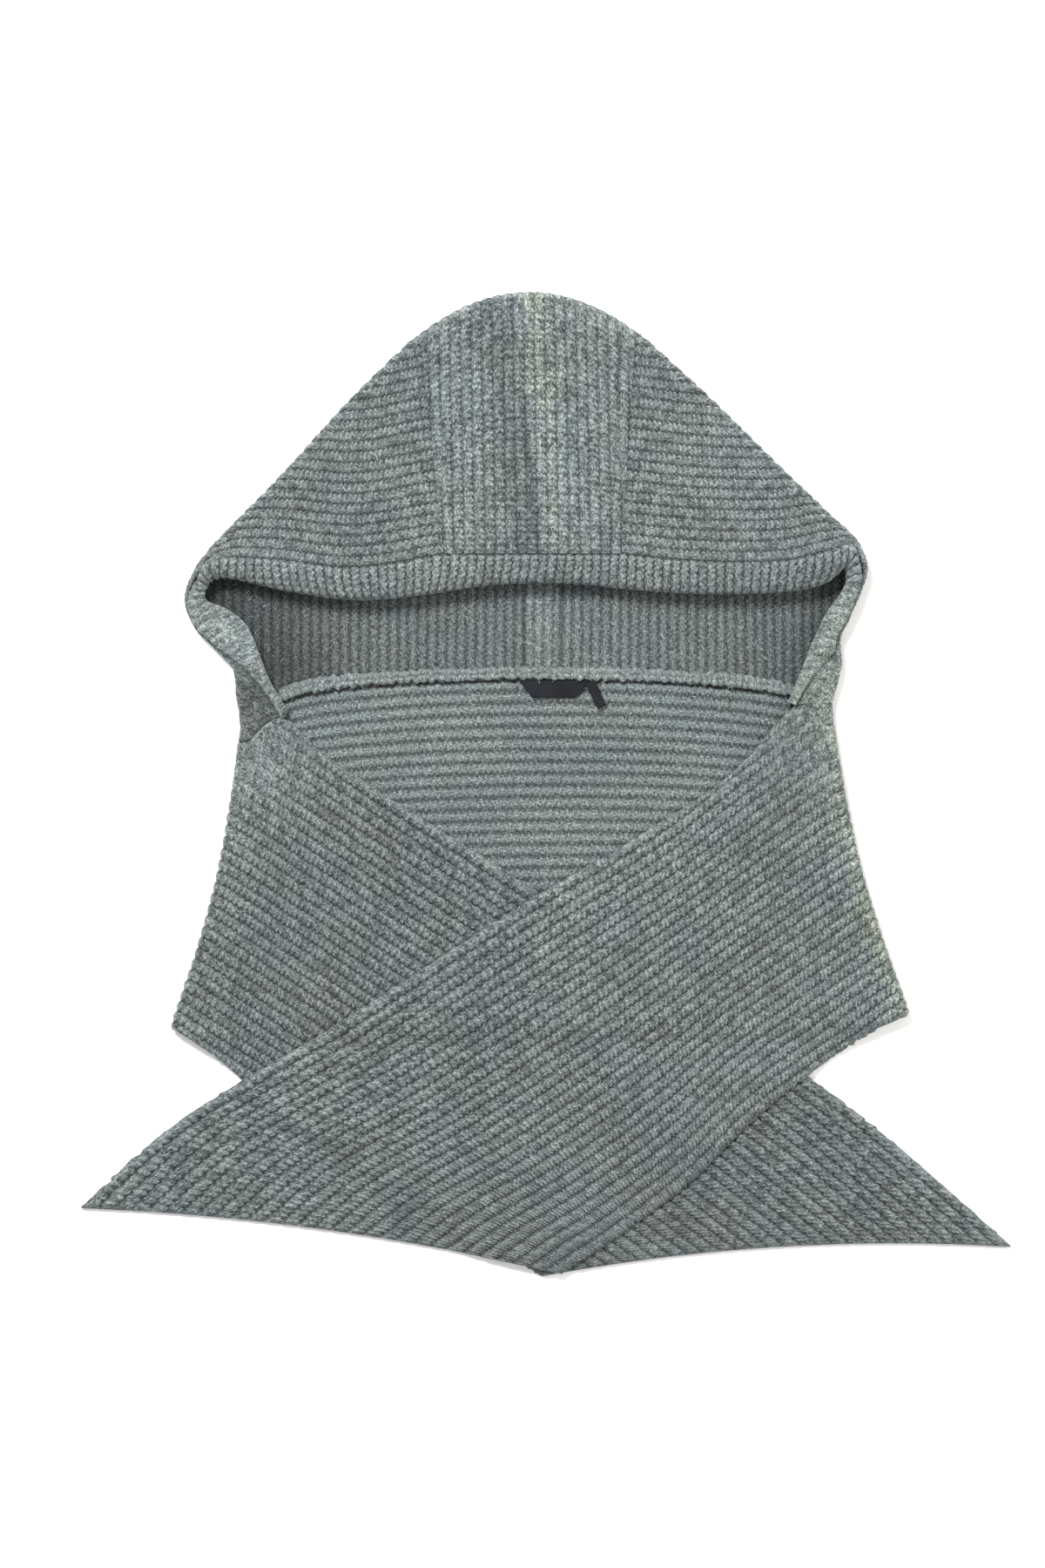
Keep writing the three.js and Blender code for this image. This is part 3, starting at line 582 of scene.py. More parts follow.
def finish_knit(piece, slot, node, wool, density=40000.0, **relief):
    """Relief and loose fibres on a shell of knit; gives its fibres' piece."""
    apply_tree(piece, RELIEF, material=wool, **relief)
    fuzz = fuzz_on(piece, density)
    finish_piece(piece, slot, node)
    return fuzz


def shoulder_fold(row):
    """Outward direction of a shoulder fold."""
    side = math.copysign(1, row[0])
    run = (row[2] - row[0]) * HEM_WIDTH / 2
    drop = (row[3] - row[1]) * FRONT_DROP
    return unit(np.array([drop * side, run * side, 0.0]))


def inset_rows(rows):
    """The same borders with the fold pulled in by its radius, so that its outside is on the outline."""

    def pull(row):
        out = shoulder_fold(row) * (FOLD_RADIUS + WALL / 2)
        x, y = 2 * out[0] / HEM_WIDTH, out[1] / FRONT_DROP
        return (row[0] - x, row[1] + y, row[2] - x, row[3] + y, row[4])

    return [pull(row) if row in (OVER_TAIL[0], UNDER_TAIL[0]) else row for row in rows]


OVER_ROWS = inset_rows(OVER_TAIL)
UNDER_ROWS = inset_rows(UNDER_TAIL)
BACK_ROWS = inset_rows(BACK_PANEL)


def scarf_plan(rows, share, v):
    neck_x, neck_y, hem_x, hem_y, bow = np.moveaxis(along(rows, share), -1, 0)
    bent = mix(neck_y, hem_y, v) - 4 * bow * v * (1 - v)
    return point(mix(neck_x, hem_x, v) * HEM_WIDTH / 2, -bent * FRONT_DROP, 0.0)


def outline_of(rows):
    shares = np.linspace(0, 1, 15)
    neck = scarf_plan(rows, shares, 0 * shares)
    hem = scarf_plan(rows, shares, 0 * shares + 1)
    return np.concatenate([neck, hem[::-1]])[:, :2]


def carried(outline, where):
    """How fully a layer lying over this outline is carried by it, from 0 beside it to 1 above it."""
    x, y = where[..., 0], where[..., 1]
    inside = np.zeros(x.shape, bool)
    nearest = np.full(x.shape, 1e9)
    for a, b in zip(outline, np.roll(outline, -1, 0)):
        rises = b[1] - a[1] if b[1] != a[1] else 1e-9
        crosses = ((a[1] > y) != (b[1] > y)) & (x < a[0] + (b[0] - a[0]) * (y - a[1]) / rises)
        inside ^= crosses
        edge = b - a
        share = ((x - a[0]) * edge[0] + (y - a[1]) * edge[1]) / max(edge @ edge, 1e-9)
        share = np.clip(share, 0, 1)
        gap = np.hypot(x - a[0] - share * edge[0], y - a[1] - share * edge[1])
        nearest = np.minimum(nearest, gap)
    return smooth(np.where(inside, 1.0, 1 - nearest / DRAPE_EASE))


BACK_OUTLINE = outline_of(BACK_PANEL)
UNDER_OUTLINE = outline_of(UNDER_TAIL)


def tail_point(rows, share, v, over):
    made = scarf_plan(rows, share, v)
    fold = scarf_plan(rows, 0 * share, v)
    rest = FLOOR_MID + LAYER * carried(BACK_OUTLINE, made)
    if over:
        rest = rest + LAYER * carried(UNDER_OUTLINE, made)
    proud = np.exp(-((length_of(made - fold) / FOLD_REACH) ** 2))
    made[..., 2] = mix(rest, FLOOR_MID + 2 * FOLD_RADIUS, proud)
    return made


def fold_point(rows, half, v):
    made = scarf_plan(rows, 0 * half, v)
    out = shoulder_fold(rows[0])
    made = made + out * (FOLD_RADIUS * np.sin(np.pi * half))[..., None]
    made[..., 2] = FLOOR_MID + FOLD_RADIUS * (1 + np.cos(np.pi * half))
    return made


def edge_bumps(courses):
    """How far the long edges stand out at their stitches, as a share of the scarf's width."""
    fine = 0.6 * np.sin(courses * 4.3) + 0.4 * np.sin(courses * 2.6 + 1)
    return EDGE_BUMP / (SCARF_RIBS * RIB_PITCH) * fine * (0.7 + 0.3 * np.sin(courses * 0.37))


def even_scarf(u, v):
    """u: over tail to 1, right fold to 2, back to 3, left fold to 4, under tail to 5. v: neck to hem."""
    made = np.zeros((*u.shape, 3))
    stretches = [
        (u <= 1, lambda a, b: tail_point(OVER_ROWS, 1 - a, b, True)),
        ((u > 1) & (u <= 2), lambda a, b: fold_point(OVER_ROWS, a - 1, b)),
        ((u > 2) & (u <= 3), lambda a, b: back_point(a - 2, b)),
        ((u > 3) & (u <= 4), lambda a, b: fold_point(UNDER_ROWS, 4 - a, b)),
        (u > 4, lambda a, b: tail_point(UNDER_ROWS, a - 4, b, False)),
    ]
    for chosen, place in stretches:
        if chosen.any():
            made[chosen] = place(u[chosen], v[chosen])
    for row, near in ((OVER_TAIL[0], u), (UNDER_TAIL[0], 5 - u)):
        away = np.maximum(np.maximum(1 - near, near - 2), 0) * TAIL_LENGTH
        drawn = FOLD_PINCH * np.sin(np.pi * np.clip(v, 0, 1)) * np.exp(-((away / FOLD_FADE) ** 2))
        made = made - drawn[..., None] * shoulder_fold(row)
    return made


def scarf(u, v):
    """The scarf with its long edges bumpy from stitch to stitch."""
    u, v = np.broadcast_arrays(np.asarray(u, float), np.asarray(v, float))
    return even_scarf(u, v + (2 * v - 1) ** 9 * edge_bumps(scarf_courses(u)))


def back_point(share, v):
    made = scarf_plan(BACK_ROWS, share, v)
    made[..., 2] = FLOOR_MID
    return made


def run_along(path):
    """Length from the start of a path to each of its places."""
    return np.concatenate([[0], np.cumsum(length_of(np.diff(path, axis=0)))])


SCARF_PLACES = np.linspace(0, 5, 1001)
SCARF_RUN = run_along(even_scarf(SCARF_PLACES, 0 * SCARF_PLACES + 0.5))


def scarf_length(u):
    """Length along the middle of the scarf from the over tail's end."""
    return np.interp(u, SCARF_PLACES, SCARF_RUN)


def scarf_courses(u):
    return scarf_length(u) / COURSE_PITCH


def scarf_steps(low, high, step):
    start, end = scarf_length([low, high])
    lengths = np.linspace(start, end, max(round((end - start) / step), 2), endpoint=False)
    return list(np.interp(lengths, SCARF_RUN, SCARF_PLACES))


# The drawn outline is centred on the model's scarf in x and starts at its low edge in y.
outline_points = scarf(np.linspace(0, 5, 400)[:, None], np.array([[0.0, 1.0]])).reshape(-1, 3)
scarf_low, scarf_high = (np.array(c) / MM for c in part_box("scarf"))
GARMENT_SHIFT = np.array(
    [
        (scarf_low[0] + scarf_high[0]) / 2 - (outline_points[:, 0].min() + outline_points[:, 0].max()) / 2,
        scarf_low[1] - outline_points[:, 1].min(),
        0.0,
    ]
)

scarf_wool = knit_material("scarf_wool", stitch=0.36, brightness=0.475)
RIB_CUTS = (0.0, 0.11, 0.28, 0.5, 0.72, 0.89)
rib_places = [(k + cut) / SCARF_RIBS for k in range(SCARF_RIBS) for cut in RIB_CUTS] + [1.0]
plain_places = list(np.linspace(0, 1, 30))


def straight_ribs(rows, where, v, share):
    """Rib numbers of a tail: its ribs keep their direction up to the shoulder fold, whatever its edges do."""
    ends = np.array([0.0, 1.0])
    neck, hem = scarf_plan(rows, STRAIGHT_FROM + 0 * ends, ends)
    onward = scarf_plan(rows, np.array(STRAIGHT_FROM - STRAIGHT_PROBE), np.array(0.5))
    middle = scarf_plan(rows, np.array(STRAIGHT_FROM + STRAIGHT_PROBE), np.array(0.5))
    run = unit(onward - middle)
    square = np.array([-run[1], run[0], 0.0])
    number = ((where - neck) @ square) / ((hem - neck) @ square) * SCARF_RIBS
    eased = smooth((STRAIGHT_FROM - share) / 0.14)
    return mix(v * SCARF_RIBS, number, eased)


def scarf_knit(u, v):
    made = scarf(u, v)
    over = straight_ribs(OVER_ROWS, made, v, 1 - np.minimum(u, 1))
    under = straight_ribs(UNDER_ROWS, made, v, np.maximum(u, 4) - 4)
    plain = v * SCARF_RIBS
    ribs = mix(over, plain, smooth((u - 2) / 0.1))
    ribs = np.where(u > 2.5, mix(plain, under, smooth((u - 2.9) / 0.1)), ribs)
    return ribs + 0.12 * ripple(u * 9, v * 5, 3), scarf_courses(u) + 0.2 * ripple(u * 14, v * 9, 4)


def scarf_look(u, v, side):
    """Pale felted selvedge along both long edges and across the tails' ends, a painted highlight across the
    right shoulder fold, and painted shade over the under tail's outer face and over the tails' inner face.
    """
    edge = np.minimum(v, 1 - v) * SCARF_RIBS * RIB_PITCH
    end = np.minimum(scarf_length(u), SCARF_RUN[-1] - scarf_length(u))
    selvedge = 1 - smooth((np.minimum(edge, end) - 1.0) / 2.5)
    # Painted highlight across the right shoulder fold, strongest towards the hem.
    fold = np.exp(-(((scarf_length(1.3) - scarf_length(u)) / 17) ** 2))
    fold = fold * (0.6 + 0.4 * smooth((v - 0.2) / 0.3))
    made = scarf(u, v)
    neck = np.minimum(length_of(made - scarf(1.0, 0.0)), length_of(made - scarf(4.0, 0.0)))
    worn = 0.75 * np.exp(-((neck / 48) ** 2))
    # Painted shade: the under tail's outer face is darker, and so is the inner face of both tails.
    shade = 0.3 * smooth((u - 4.05) / 0.2) if side > 0 else 0.24
    return point(np.maximum(0.6 * selvedge, worn), 0.12 * selvedge + 0.9 * fold - shade, 0.0)


def scarf_edge(ends):
    """How full the wall is: thinner and rounded off at the long edges and at these ends."""

    def soft(u, v):
        hem = np.minimum(v, 1 - v) * SCARF_RIBS * RIB_PITCH
        end = np.full(np.shape(u), 1e9)
        for place in ends:
            end = np.minimum(end, np.abs(scarf_length(u) - scarf_length(place)))
        near = np.clip(np.minimum(hem, end) / EDGE_SOFT, 0, 1)
        return 0.3 + 0.7 * np.sqrt(1 - (1 - near) ** 2)

    return soft


def border_gain(faces_out):
    """Relief fades out just before the strip's edges, and where the strip turns down to the floor."""

    def gain(u, v):
        hem = np.minimum(v, 1 - v) * SCARF_RIBS * RIB_PITCH
        under = smooth((np.minimum(u, 5 - u) - 1.55) / 0.2) if faces_out else 0.0
        return smooth(hem / 2.5) * (1 - under)

    return gain


over_us = scarf_steps(0, 1, STEP) + scarf_steps(1, 2, 1.3) + scarf_steps(2, 2 + BACK_CUT, 3)
over_us.append(2 + BACK_CUT)
coarse_us = scarf_steps(0, 1, 9) + scarf_steps(1, 2, 3) + [2, 2 + BACK_CUT / 2, 2 + BACK_CUT]
back_us = scarf_steps(2 + BACK_CUT, 3 - BACK_CUT, 1.8) + [3 - BACK_CUT]
back_coarse = scarf_steps(2 + BACK_CUT, 3 - BACK_CUT, 12) + [3 - BACK_CUT]
over = (over_us, rib_places, border_gain(True)), (coarse_us, plain_places, 0.0)
under = [([5 - u for u in reversed(us)], vs, gain) for us, vs, gain in over]
back = (back_coarse, plain_places, 0.0), (back_us, rib_places, border_gain(False))
scarf_pieces = [
    knit_shell(name, scarf, (scarf_knit, scarf_knit), *walls, turned=True, soft=scarf_edge(ends), look=look)
    for name, walls, ends, look in (
        ("scarf_over_tail", over, [0], scarf_look),
        ("scarf_under_tail", under, [5], scarf_look),
        ("scarf_back_panel", back, [], even_look),
    )
]
for piece, flat in zip(scarf_pieces, ((0.225, 0.62), (0.225, 0.62), (0.245, 0.40))):
    relief = {"rib_height": 1.5, "stitch_height": 0.6, "fullness": 3.4, "inside_height": 1.0}
    fuzz = finish_knit(piece, "rib_knit", "scarf", scarf_wool, **relief)

# Hood sides
#
# Two panels of the same knit, one on each side of the crown strip. From the seam their ribs run round the
# soft fold of the outline to the neck; the upper layer lies loosely over the back one and ends at the band.

HOOD_WIDTH = 502.5
HOOD_HEIGHT = 292.5
HOOD_OFFSET = -11.4
BROW_LOFT = 24
NAPE_WIDTH = 28
NAPE_OFFSET = -0.5
NAPE_WAIST = 3
NECK_BLEND = 0.75
INSIDE_PITCH = 7.2
UPPER_LAYER = 165
OUTLINE_TURN = 16
BACK_LAYER = 170

# x is a share of half the hood's width, y of its height, z and the turn's radius of the brow's loft. The
# turn's angle is in degrees, its start a share of half a circle; seam is how far down the back seam the line
# ends.
SIDE_COLUMNS = (
    "edge_x edge_y edge_z free_x free_y free_z fold_x fold_y turn_angle turn_radius turn_start seam"
).split()
LEFT_SIDE = [
    (-0.246, 0.34, 0.95, -0.264, 0.242, 0.95, -0.321, 0.893, 113, 0.19, 0, 0),
    (-0.507, 0.307, 1.0, -0.491, 0.224, 0.95, -0.507, 0.74, 135, 0.19, 0, 0.16),
    (-0.722, 0.324, 1.0, -0.704, 0.247, 0.9, -0.722, 0.538, 137, 0.2, 0, 0.38),
    (-0.869, 0.329, 0.95, -0.874, 0.282, 0.85, -0.869, 0.409, 142, 0.24, 0, 0.52),
    (-0.937, 0.311, 0.85, -0.931, 0.278, 0.72, -0.947, 0.336, 150, 0.28, 0.04, 0.61),
    (-0.978, 0.269, 0.7, -0.952, 0.258, 0.5, -0.994, 0.267, 168, 0.32, 0.2, 0.7),
    (-1.0, 0.211, 0.55, -0.95, 0.224, 0.36, -1.001, 0.211, 182, 0.32, 0.35, 0.77),
    (-0.972, 0.156, 0.42, -0.89, 0.202, 0.33, -0.973, 0.156, 205, 0.3, 0.42, 0.83),
    (-0.918, 0.11, 0.45, -0.831, 0.16, 0.36, -0.921, 0.111, 210, 0.27, 0.36, 0.885),
    (-0.852, 0.063, 0.52, -0.789, 0.08, 0.5, -0.872, 0.058, 194, 0.25, 0.12, 0.93),
    (-0.807, 0.002, 0.5, -0.758, 0.011, 0.52, -0.869, -0.016, 183, 0.22, 0, 0.97),
    (-0.768, -0.062, 0.44, -0.714, -0.056, 0.5, -0.856, -0.129, 190, 0.19, 0, 1),
]
RIGHT_SIDE = [
    (0.277, 0.34, 0.95, 0.272, 0.253, 0.95, 0.326, 0.898, 113, 0.19, 0, 0),
    (0.512, 0.322, 1.0, 0.512, 0.24, 0.95, 0.512, 0.753, 135, 0.19, 0, 0.16),
    (0.742, 0.322, 1.0, 0.734, 0.244, 0.9, 0.742, 0.56, 137, 0.2, 0, 0.38),
    (0.887, 0.347, 0.95, 0.86, 0.262, 0.85, 0.887, 0.44, 140, 0.24, 0, 0.52),
    (0.955, 0.352, 0.85, 0.928, 0.306, 0.74, 0.967, 0.374, 148, 0.28, 0.1, 0.61),
    (0.985, 0.308, 0.7, 0.946, 0.284, 0.52, 0.996, 0.308, 170, 0.32, 0.2, 0.7),
    (0.975, 0.247, 0.55, 0.935, 0.25, 0.38, 0.976, 0.247, 190, 0.32, 0.35, 0.77),
    (0.944, 0.184, 0.45, 0.885, 0.19, 0.36, 0.945, 0.184, 203, 0.3, 0.38, 0.83),
    (0.903, 0.134, 0.48, 0.849, 0.127, 0.42, 0.916, 0.129, 203, 0.27, 0.3, 0.885),
    (0.885, 0.071, 0.52, 0.823, 0.073, 0.5, 0.926, 0.058, 186, 0.25, 0.08, 0.93),
    (0.854, 0.009, 0.5, 0.797, 0.016, 0.52, 0.921, -0.016, 183, 0.22, 0, 0.97),
    (0.823, -0.049, 0.44, 0.779, -0.033, 0.5, 0.908, -0.089, 190, 0.19, 0, 1),
]


def steps(low, high, length, step=STEP):
    """Even places from low to just before high, where that stretch is this long."""
    return list(np.linspace(low, high, max(int(round(length / step)), 2), endpoint=False))


def hood_point(x, y, height):
    return point(HOOD_OFFSET + x * HOOD_WIDTH / 2, y * HOOD_HEIGHT, height * BROW_LOFT)


def upright_ribs(made):
    """Rib numbers of the hood's back layer, whose ribs stand straight up from the neck."""
    return made[..., 0] / INSIDE_PITCH + 0.15 * ripple(made[..., 0] / 60, made[..., 1] / 40, 9)


class HoodSide:
    """One side panel: cross-lines q from crown strip (0) to neck (1), measured from the front edge."""

    def __init__(self, rows, hand, nape, front):
        self.rows = rows
        self.hand = hand
        self.nape_point = scarf(nape, 0.0)
        places = np.linspace(front, nape, 400)
        path = scarf(places, 0 * places)
        run = run_along(path)
        self.neck_path = path
        self.neck_run = run / run[-1]
        self.crown = np.zeros(3)
        self.crown = self.cross_line(np.array(0.0))["turn_end"]
        self.places = np.linspace(0, 1, 401)
        self.run = run_along(self.surface(self.places, 0 * self.places + 0.6))

    def back_seam(self, share):
        """The seam beside the crown strip on the back layer, from the crown's fold to the nape."""
        down = np.clip(share, 0, 1)
        x = mix(self.nape_point[0], self.crown[0], (1 - down) ** NAPE_WAIST)
        return point(x, mix(self.crown[1], self.nape_point[1], down), FLOOR_MID)

    def row(self, q):
        values = along(self.rows, np.asarray(q, float))
        return dict(zip(SIDE_COLUMNS, np.moveaxis(values, -1, 0)))

    def cross_line(self, q):
        row = self.row(q)
        angle = np.radians(row["turn_angle"] if self.hand < 0 else 180 - row["turn_angle"])
        out = point(np.cos(angle), np.sin(angle), 0.0)
        radius = row["turn_radius"] * BROW_LOFT
        start = np.maximum(row["turn_start"], 0) * np.pi
        axis = hood_point(row["fold_x"], row["fold_y"], 0) - out * radius[..., None]
        axis[..., 2] = FLOOR_MID + radius

        def turn(bend):
            made = axis + out * (radius * np.sin(bend))[..., None]
            made[..., 2] += radius * np.cos(bend)
            return made

        turn_start, turn_end = turn(start), turn(np.pi + 0 * start)
        front = hood_point(row["edge_x"], row["edge_y"], row["edge_z"])
        front = mix(front, turn_start, smooth(row["turn_start"] / 0.2)[..., None])
        seam = self.back_seam(np.maximum(row["seam"], 0))
        seam = np.where((np.asarray(q) <= 0)[..., None], turn_end, seam)
        top = length_of(front - turn_start)
        bent = radius * (np.pi - start)
        back = length_of(turn_end - seam)
        return {
            "front": front,
            "turn": turn,
            "turn_start": turn_start,
            "turn_end": turn_end,
            "start": start,
            "seam": seam,
            "top": top,
            "bent": bent,
            "back": back,
            "depth": top + bent + back,
        }

    def cross_point(self, line, distance):
        top, bent, back = line["top"], line["bent"], line["back"]
        upper = np.clip(distance / np.maximum(top, 1e-6), 0, 1)[..., None]
        past = np.clip((distance - top) / np.maximum(bent, 1e-6), 0, 1)
        lower = np.clip((distance - top - bent) / np.maximum(back, 1e-6), 0, 1)[..., None]
        made = np.where(
            (distance < top)[..., None],
            mix(line["front"], line["turn_start"], upper),
            line["turn"](mix(line["start"], np.pi, past)),
        )
        return np.where(
            (distance > top + bent)[..., None], mix(line["turn_end"], line["seam"], lower), made
        )

    def distance(self, line, leg):
        """Distance along a cross-line at a leg place: upper layer 0 to 1, turn to 2, back layer to 3."""
        return (
            line["top"] * np.clip(leg, 0, 1)
            + line["bent"] * np.clip(leg - 1, 0, 1)
            + line["back"] * np.clip(leg - 2, 0, 1)
        )

    def place(self, q, distance):
        line = self.cross_line(np.clip(q, 0, 1))
        made = self.cross_point(line, np.clip(distance, 0, line["depth"]))
        eased = smooth((q - NECK_BLEND) / (1 - NECK_BLEND))[..., None]
        share = np.clip(distance / np.maximum(line["depth"], 1e-6), 0, 1)
        last = self.cross_line(np.ones(np.shape(q)))
        target = np.stack(
            [np.interp(share, self.neck_run, self.neck_path[:, k]) for k in range(3)], -1
        )
        return made + (target - self.cross_point(last, share * last["depth"])) * eased

    def surface(self, q, leg):
        q = np.clip(q, 0, 1)
        return self.place(q, self.distance(self.cross_line(q), leg))

    def knit(self, q, leg):
        reached = self.distance(self.cross_line(np.clip(q, 0, 1)), leg)
        ribs = reached / RIB_PITCH + 0.12 * ripple(q * 7, reached / 30, 7)
        courses = np.interp(q, self.places, self.run) / COURSE_PITCH
        return ribs, courses + 0.2 * ripple(q * 16, reached / 20, 8)

    def steps(self, step):
        """Places from the crown seam to the neck at equal lengths along the middle of the upper layer."""
        lengths = np.linspace(0, self.run[-1], round(self.run[-1] / step) + 1)
        return list(np.interp(lengths, self.run, self.places))

    def look(self, q, leg, side):
        """Outside, the knit is felted beside the neck, with painted shade over the left panel and a painted
        highlight on the right one, both strongest near the neck; inside, painted shade deepens towards the
        fold, more on the left.
        """
        left = self.hand < 0
        if side > 0:
            low = smooth((q - 0.7) / 0.2)
            beside = 0.5 * np.exp(-(((q - 0.34) / 0.16) ** 2 + ((leg - 0.12) / 0.2) ** 2))
            # Painted shade on the left panel and a painted highlight on the right one.
            return point(np.maximum(0.7 * low, beside), -1.0 * low - 0.16 if left else 0.5 * low, 0.0)
        # Painted shade inside, deepest at the fold.
        fold_hollow_shade = 1 - 0.75 * smooth((leg - 2) / 0.65)
        return point(0.0 * q, (-2.1 if left else -1.2) * fold_hollow_shade, 0.0)

    def inside_knit(self, q, leg):
        made = self.surface(q, leg)
        return upright_ribs(made), made[..., 1] / COURSE_PITCH


neck_shares = np.linspace(1, 0, 2000)
neck_xs = scarf_plan(BACK_ROWS, neck_shares, 0 * neck_shares)[:, 0]
nape_ends = [NAPE_OFFSET - NAPE_WIDTH / 2, NAPE_OFFSET + NAPE_WIDTH / 2]
NAPE_LEFT, NAPE_RIGHT = np.interp(nape_ends, neck_xs, neck_shares)
LEFT = HoodSide(LEFT_SIDE, -1, 2 + NAPE_LEFT, 4 + 1 / 7)
RIGHT = HoodSide(RIGHT_SIDE, 1, 2 + NAPE_RIGHT, 1 - 1 / 7)

hood_wool = knit_material("hood_wool", furrow=0.26, brightness=0.455, seed=40.0)
upper_legs = steps(0, 1, UPPER_LAYER, 1.25) + steps(1, 2, OUTLINE_TURN, 1.3) + [2, 2.33, 2.67, 3]
back_legs = [0, 0.33, 0.67] + steps(1, 2, OUTLINE_TURN, 4) + steps(2, 3, BACK_LAYER) + [3]


def side_gain(q, leg):
    return smooth(leg / 0.02) * (1 - smooth((leg - 1.5) / 0.2))


def side_inside(q, leg):
    return smooth((leg - 1.9) / 0.1)


for side, name, node in (
    (LEFT, "left_side_knit", "hood_side_left"),
    (RIGHT, "right_side_knit", "hood_side_right"),
):
    side_qs = side.steps(STEP)
    panel = knit_shell(
        name,
        side.surface,
        (side.knit, side.inside_knit),
        (side_qs, upper_legs, side_gain),
        (side_qs, back_legs, side_inside),
        turned=side.hand < 0,
        look=side.look,
    )
    relief = {"rib_height": 1.4, "stitch_height": 0.55, "fullness": 3.0, "inside_height": 1.0}
    fuzz = finish_knit(panel, "rib_knit", node, hood_wool, **relief)

# Crown strip
#
# The middle panel of the hood, of the same knit, from the band over the crown's fold and down the back to the
# nape. Its ribs run between its two seams, and it rises a little past them at the top of the head.

CROWN_RISE = 31.5
BROW_HEIGHT = 0.34
FRONT_RUN = 162
CROWN_TURN_RUN = 15
TOP_RUN = 175
BACK_RUN = 280
WHOLE_RUN = 460
SEAM_INSET = 0.016
SEAM_REACH = 0.064


def seam_path(side, s):
    line = side.cross_line(0 * s)
    front = side.cross_point(line, np.clip(s, 0, 1) * line["depth"])
    return np.where((s > 1)[..., None], side.back_seam(s - 1), front)


def crown_strip(s, share):
    s = np.clip(s, 0, 2)
    share = np.clip(share, 0, 1)
    made = mix(seam_path(LEFT, s), seam_path(RIGHT, s), share[..., None])
    brow = np.where(s < 1, BROW_HEIGHT * HOOD_HEIGHT, 0)
    rise = np.clip((made[..., 1] - brow) / (LEFT.crown[1] - brow), 0, 1)
    made[..., 1] += CROWN_RISE * 4 * share * (1 - share) * rise ** np.where(s < 1, 1.3, 1.8)
    return made


def crown_knit(s, share):
    width = length_of(seam_path(LEFT, np.clip(s, 0, 2)) - seam_path(RIGHT, np.clip(s, 0, 2)))
    run = np.interp(s, [0, 1, 2], [0, TOP_RUN, WHOLE_RUN])
    return (share - 0.5) * width / RIB_PITCH + 0.5, run / COURSE_PITCH


def crown_inside_knit(s, share):
    made = crown_strip(s, share)
    return upright_ribs(made), made[..., 1] / COURSE_PITCH


def crown_gain(s, share):
    return 1 - smooth((s - mix(crown_turn, 1, 0.35)) / 0.02)


def crown_inside_gain(s, share):
    return smooth((s - 0.9) / 0.2)


def crown_look(s, share, side):
    """A crease up the middle that is only painted: a line of painted shade that fades towards the crown,
    broader painted shade at its left and a painted highlight at its right, between two stitched-down seams
    with painted shade in their grooves and a flat felted strip, a little paler, beside each. The turn over
    the crown gets a painted highlight, and on the back layer the strip's two seams show as painted shade."""
    if side > 0:
        line = 0.53 - 0.12 * s
        fade = 1 - 0.8 * smooth((s - 0.3) / 0.6)
        # Painted shade at the crease and to its left, painted highlight to its right and over the crown's
        # turn.
        left_crease_shade = 0.75 * np.exp(-(((share - line + 0.08) / 0.075) ** 2))
        crease = 1.3 * np.exp(-(((share - line) / 0.018) ** 2)) * fade
        pale = 0.65 * np.exp(-(((share - line - 0.11) / 0.08) ** 2)) + 0.45 * smooth((s - 0.8) / 0.2)
        beside = np.minimum(share, 1 - share)
        # Painted shade in the seams' grooves.
        seam_groove_shade = sum(np.exp(-(((beside - place) / 0.008) ** 2)) for place in (SEAM_INSET, SEAM_REACH))
        flat = np.exp(-(((beside - 0.04) / 0.016) ** 2))
        felted = np.maximum(0.35 * smooth((s - 0.8) / 0.2), 0.6 * flat)
        return point(felted, pale - left_crease_shade - crease + 0.15 * flat - 0.8 * seam_groove_shade, 0.0)
    # Painted shade along the strip's two seams on the back layer.
    seams = np.exp(-((share / 0.1) ** 2)) + np.exp(-(((share - 1) / 0.1) ** 2))
    return point(0.0 * s, -1.7 * seams, 0.0)


crown_line = LEFT.cross_line(np.array(0.0))
crown_turn = float(crown_line["top"] / crown_line["depth"])
crown_front = steps(0, crown_turn, FRONT_RUN) + steps(crown_turn, 1, CROWN_TURN_RUN, 1.3)
crown_shares = list(np.linspace(0, 1, 127))
crown_wool = knit_material("crown_wool", furrow=0.38, brightness=0.495, seed=80.0)
crown = knit_shell(
    "crown_knit_strip",
    crown_strip,
    (crown_knit, crown_inside_knit),
    (crown_front + steps(1, 2, BACK_RUN, 20) + [2], crown_shares, crown_gain),
    (steps(0, 1, TOP_RUN, 20) + steps(1, 2, BACK_RUN, 1.7) + [2], crown_shares, crown_inside_gain),
    turned=True,
    look=crown_look,
)
relief = {"rib_height": 1.3, "stitch_height": 0.4, "fullness": 2.4, "inside_height": 1.0}
fuzz = finish_knit(crown, "rib_knit", "hood_centre", crown_wool, **relief)

# Face band
#
# A doubled rib band sewn to the hood's front edge all round the face. Its short ribs run across it and it
# ends in a plump folded edge; at the corners it turns with the hood and narrows towards the neck.

BAND_THICKNESS = 7
BAND_PITCH = 6.6
BAND_DROOP = 0.25
BROW_DIP = 6
SEAM_PROBE = 2.0


def all_round(s, left, middle, right):
    """Of places on the left panel, over the brow and on the right panel, the one where s is."""
    made = np.where((s < -1)[..., None], left, middle)
    return np.where((s > 1)[..., None], right, made)


def front_edge(s):
    """The hood's front edge and a place just behind it. s: left panel below -1, right panel above 1."""
    pairs = []
    for depth in (0.0, SEAM_PROBE):
        left = LEFT.place(np.clip(-1 - s, 0, 1), depth + 0 * s)
        right = RIGHT.place(np.clip(s - 1, 0, 1), depth + 0 * s)
        middle = crown_strip(0 * s + depth / HOOD_HEIGHT, (s + 1) / 2)
        pairs.append(all_round(s, left, middle, right))
    return pairs


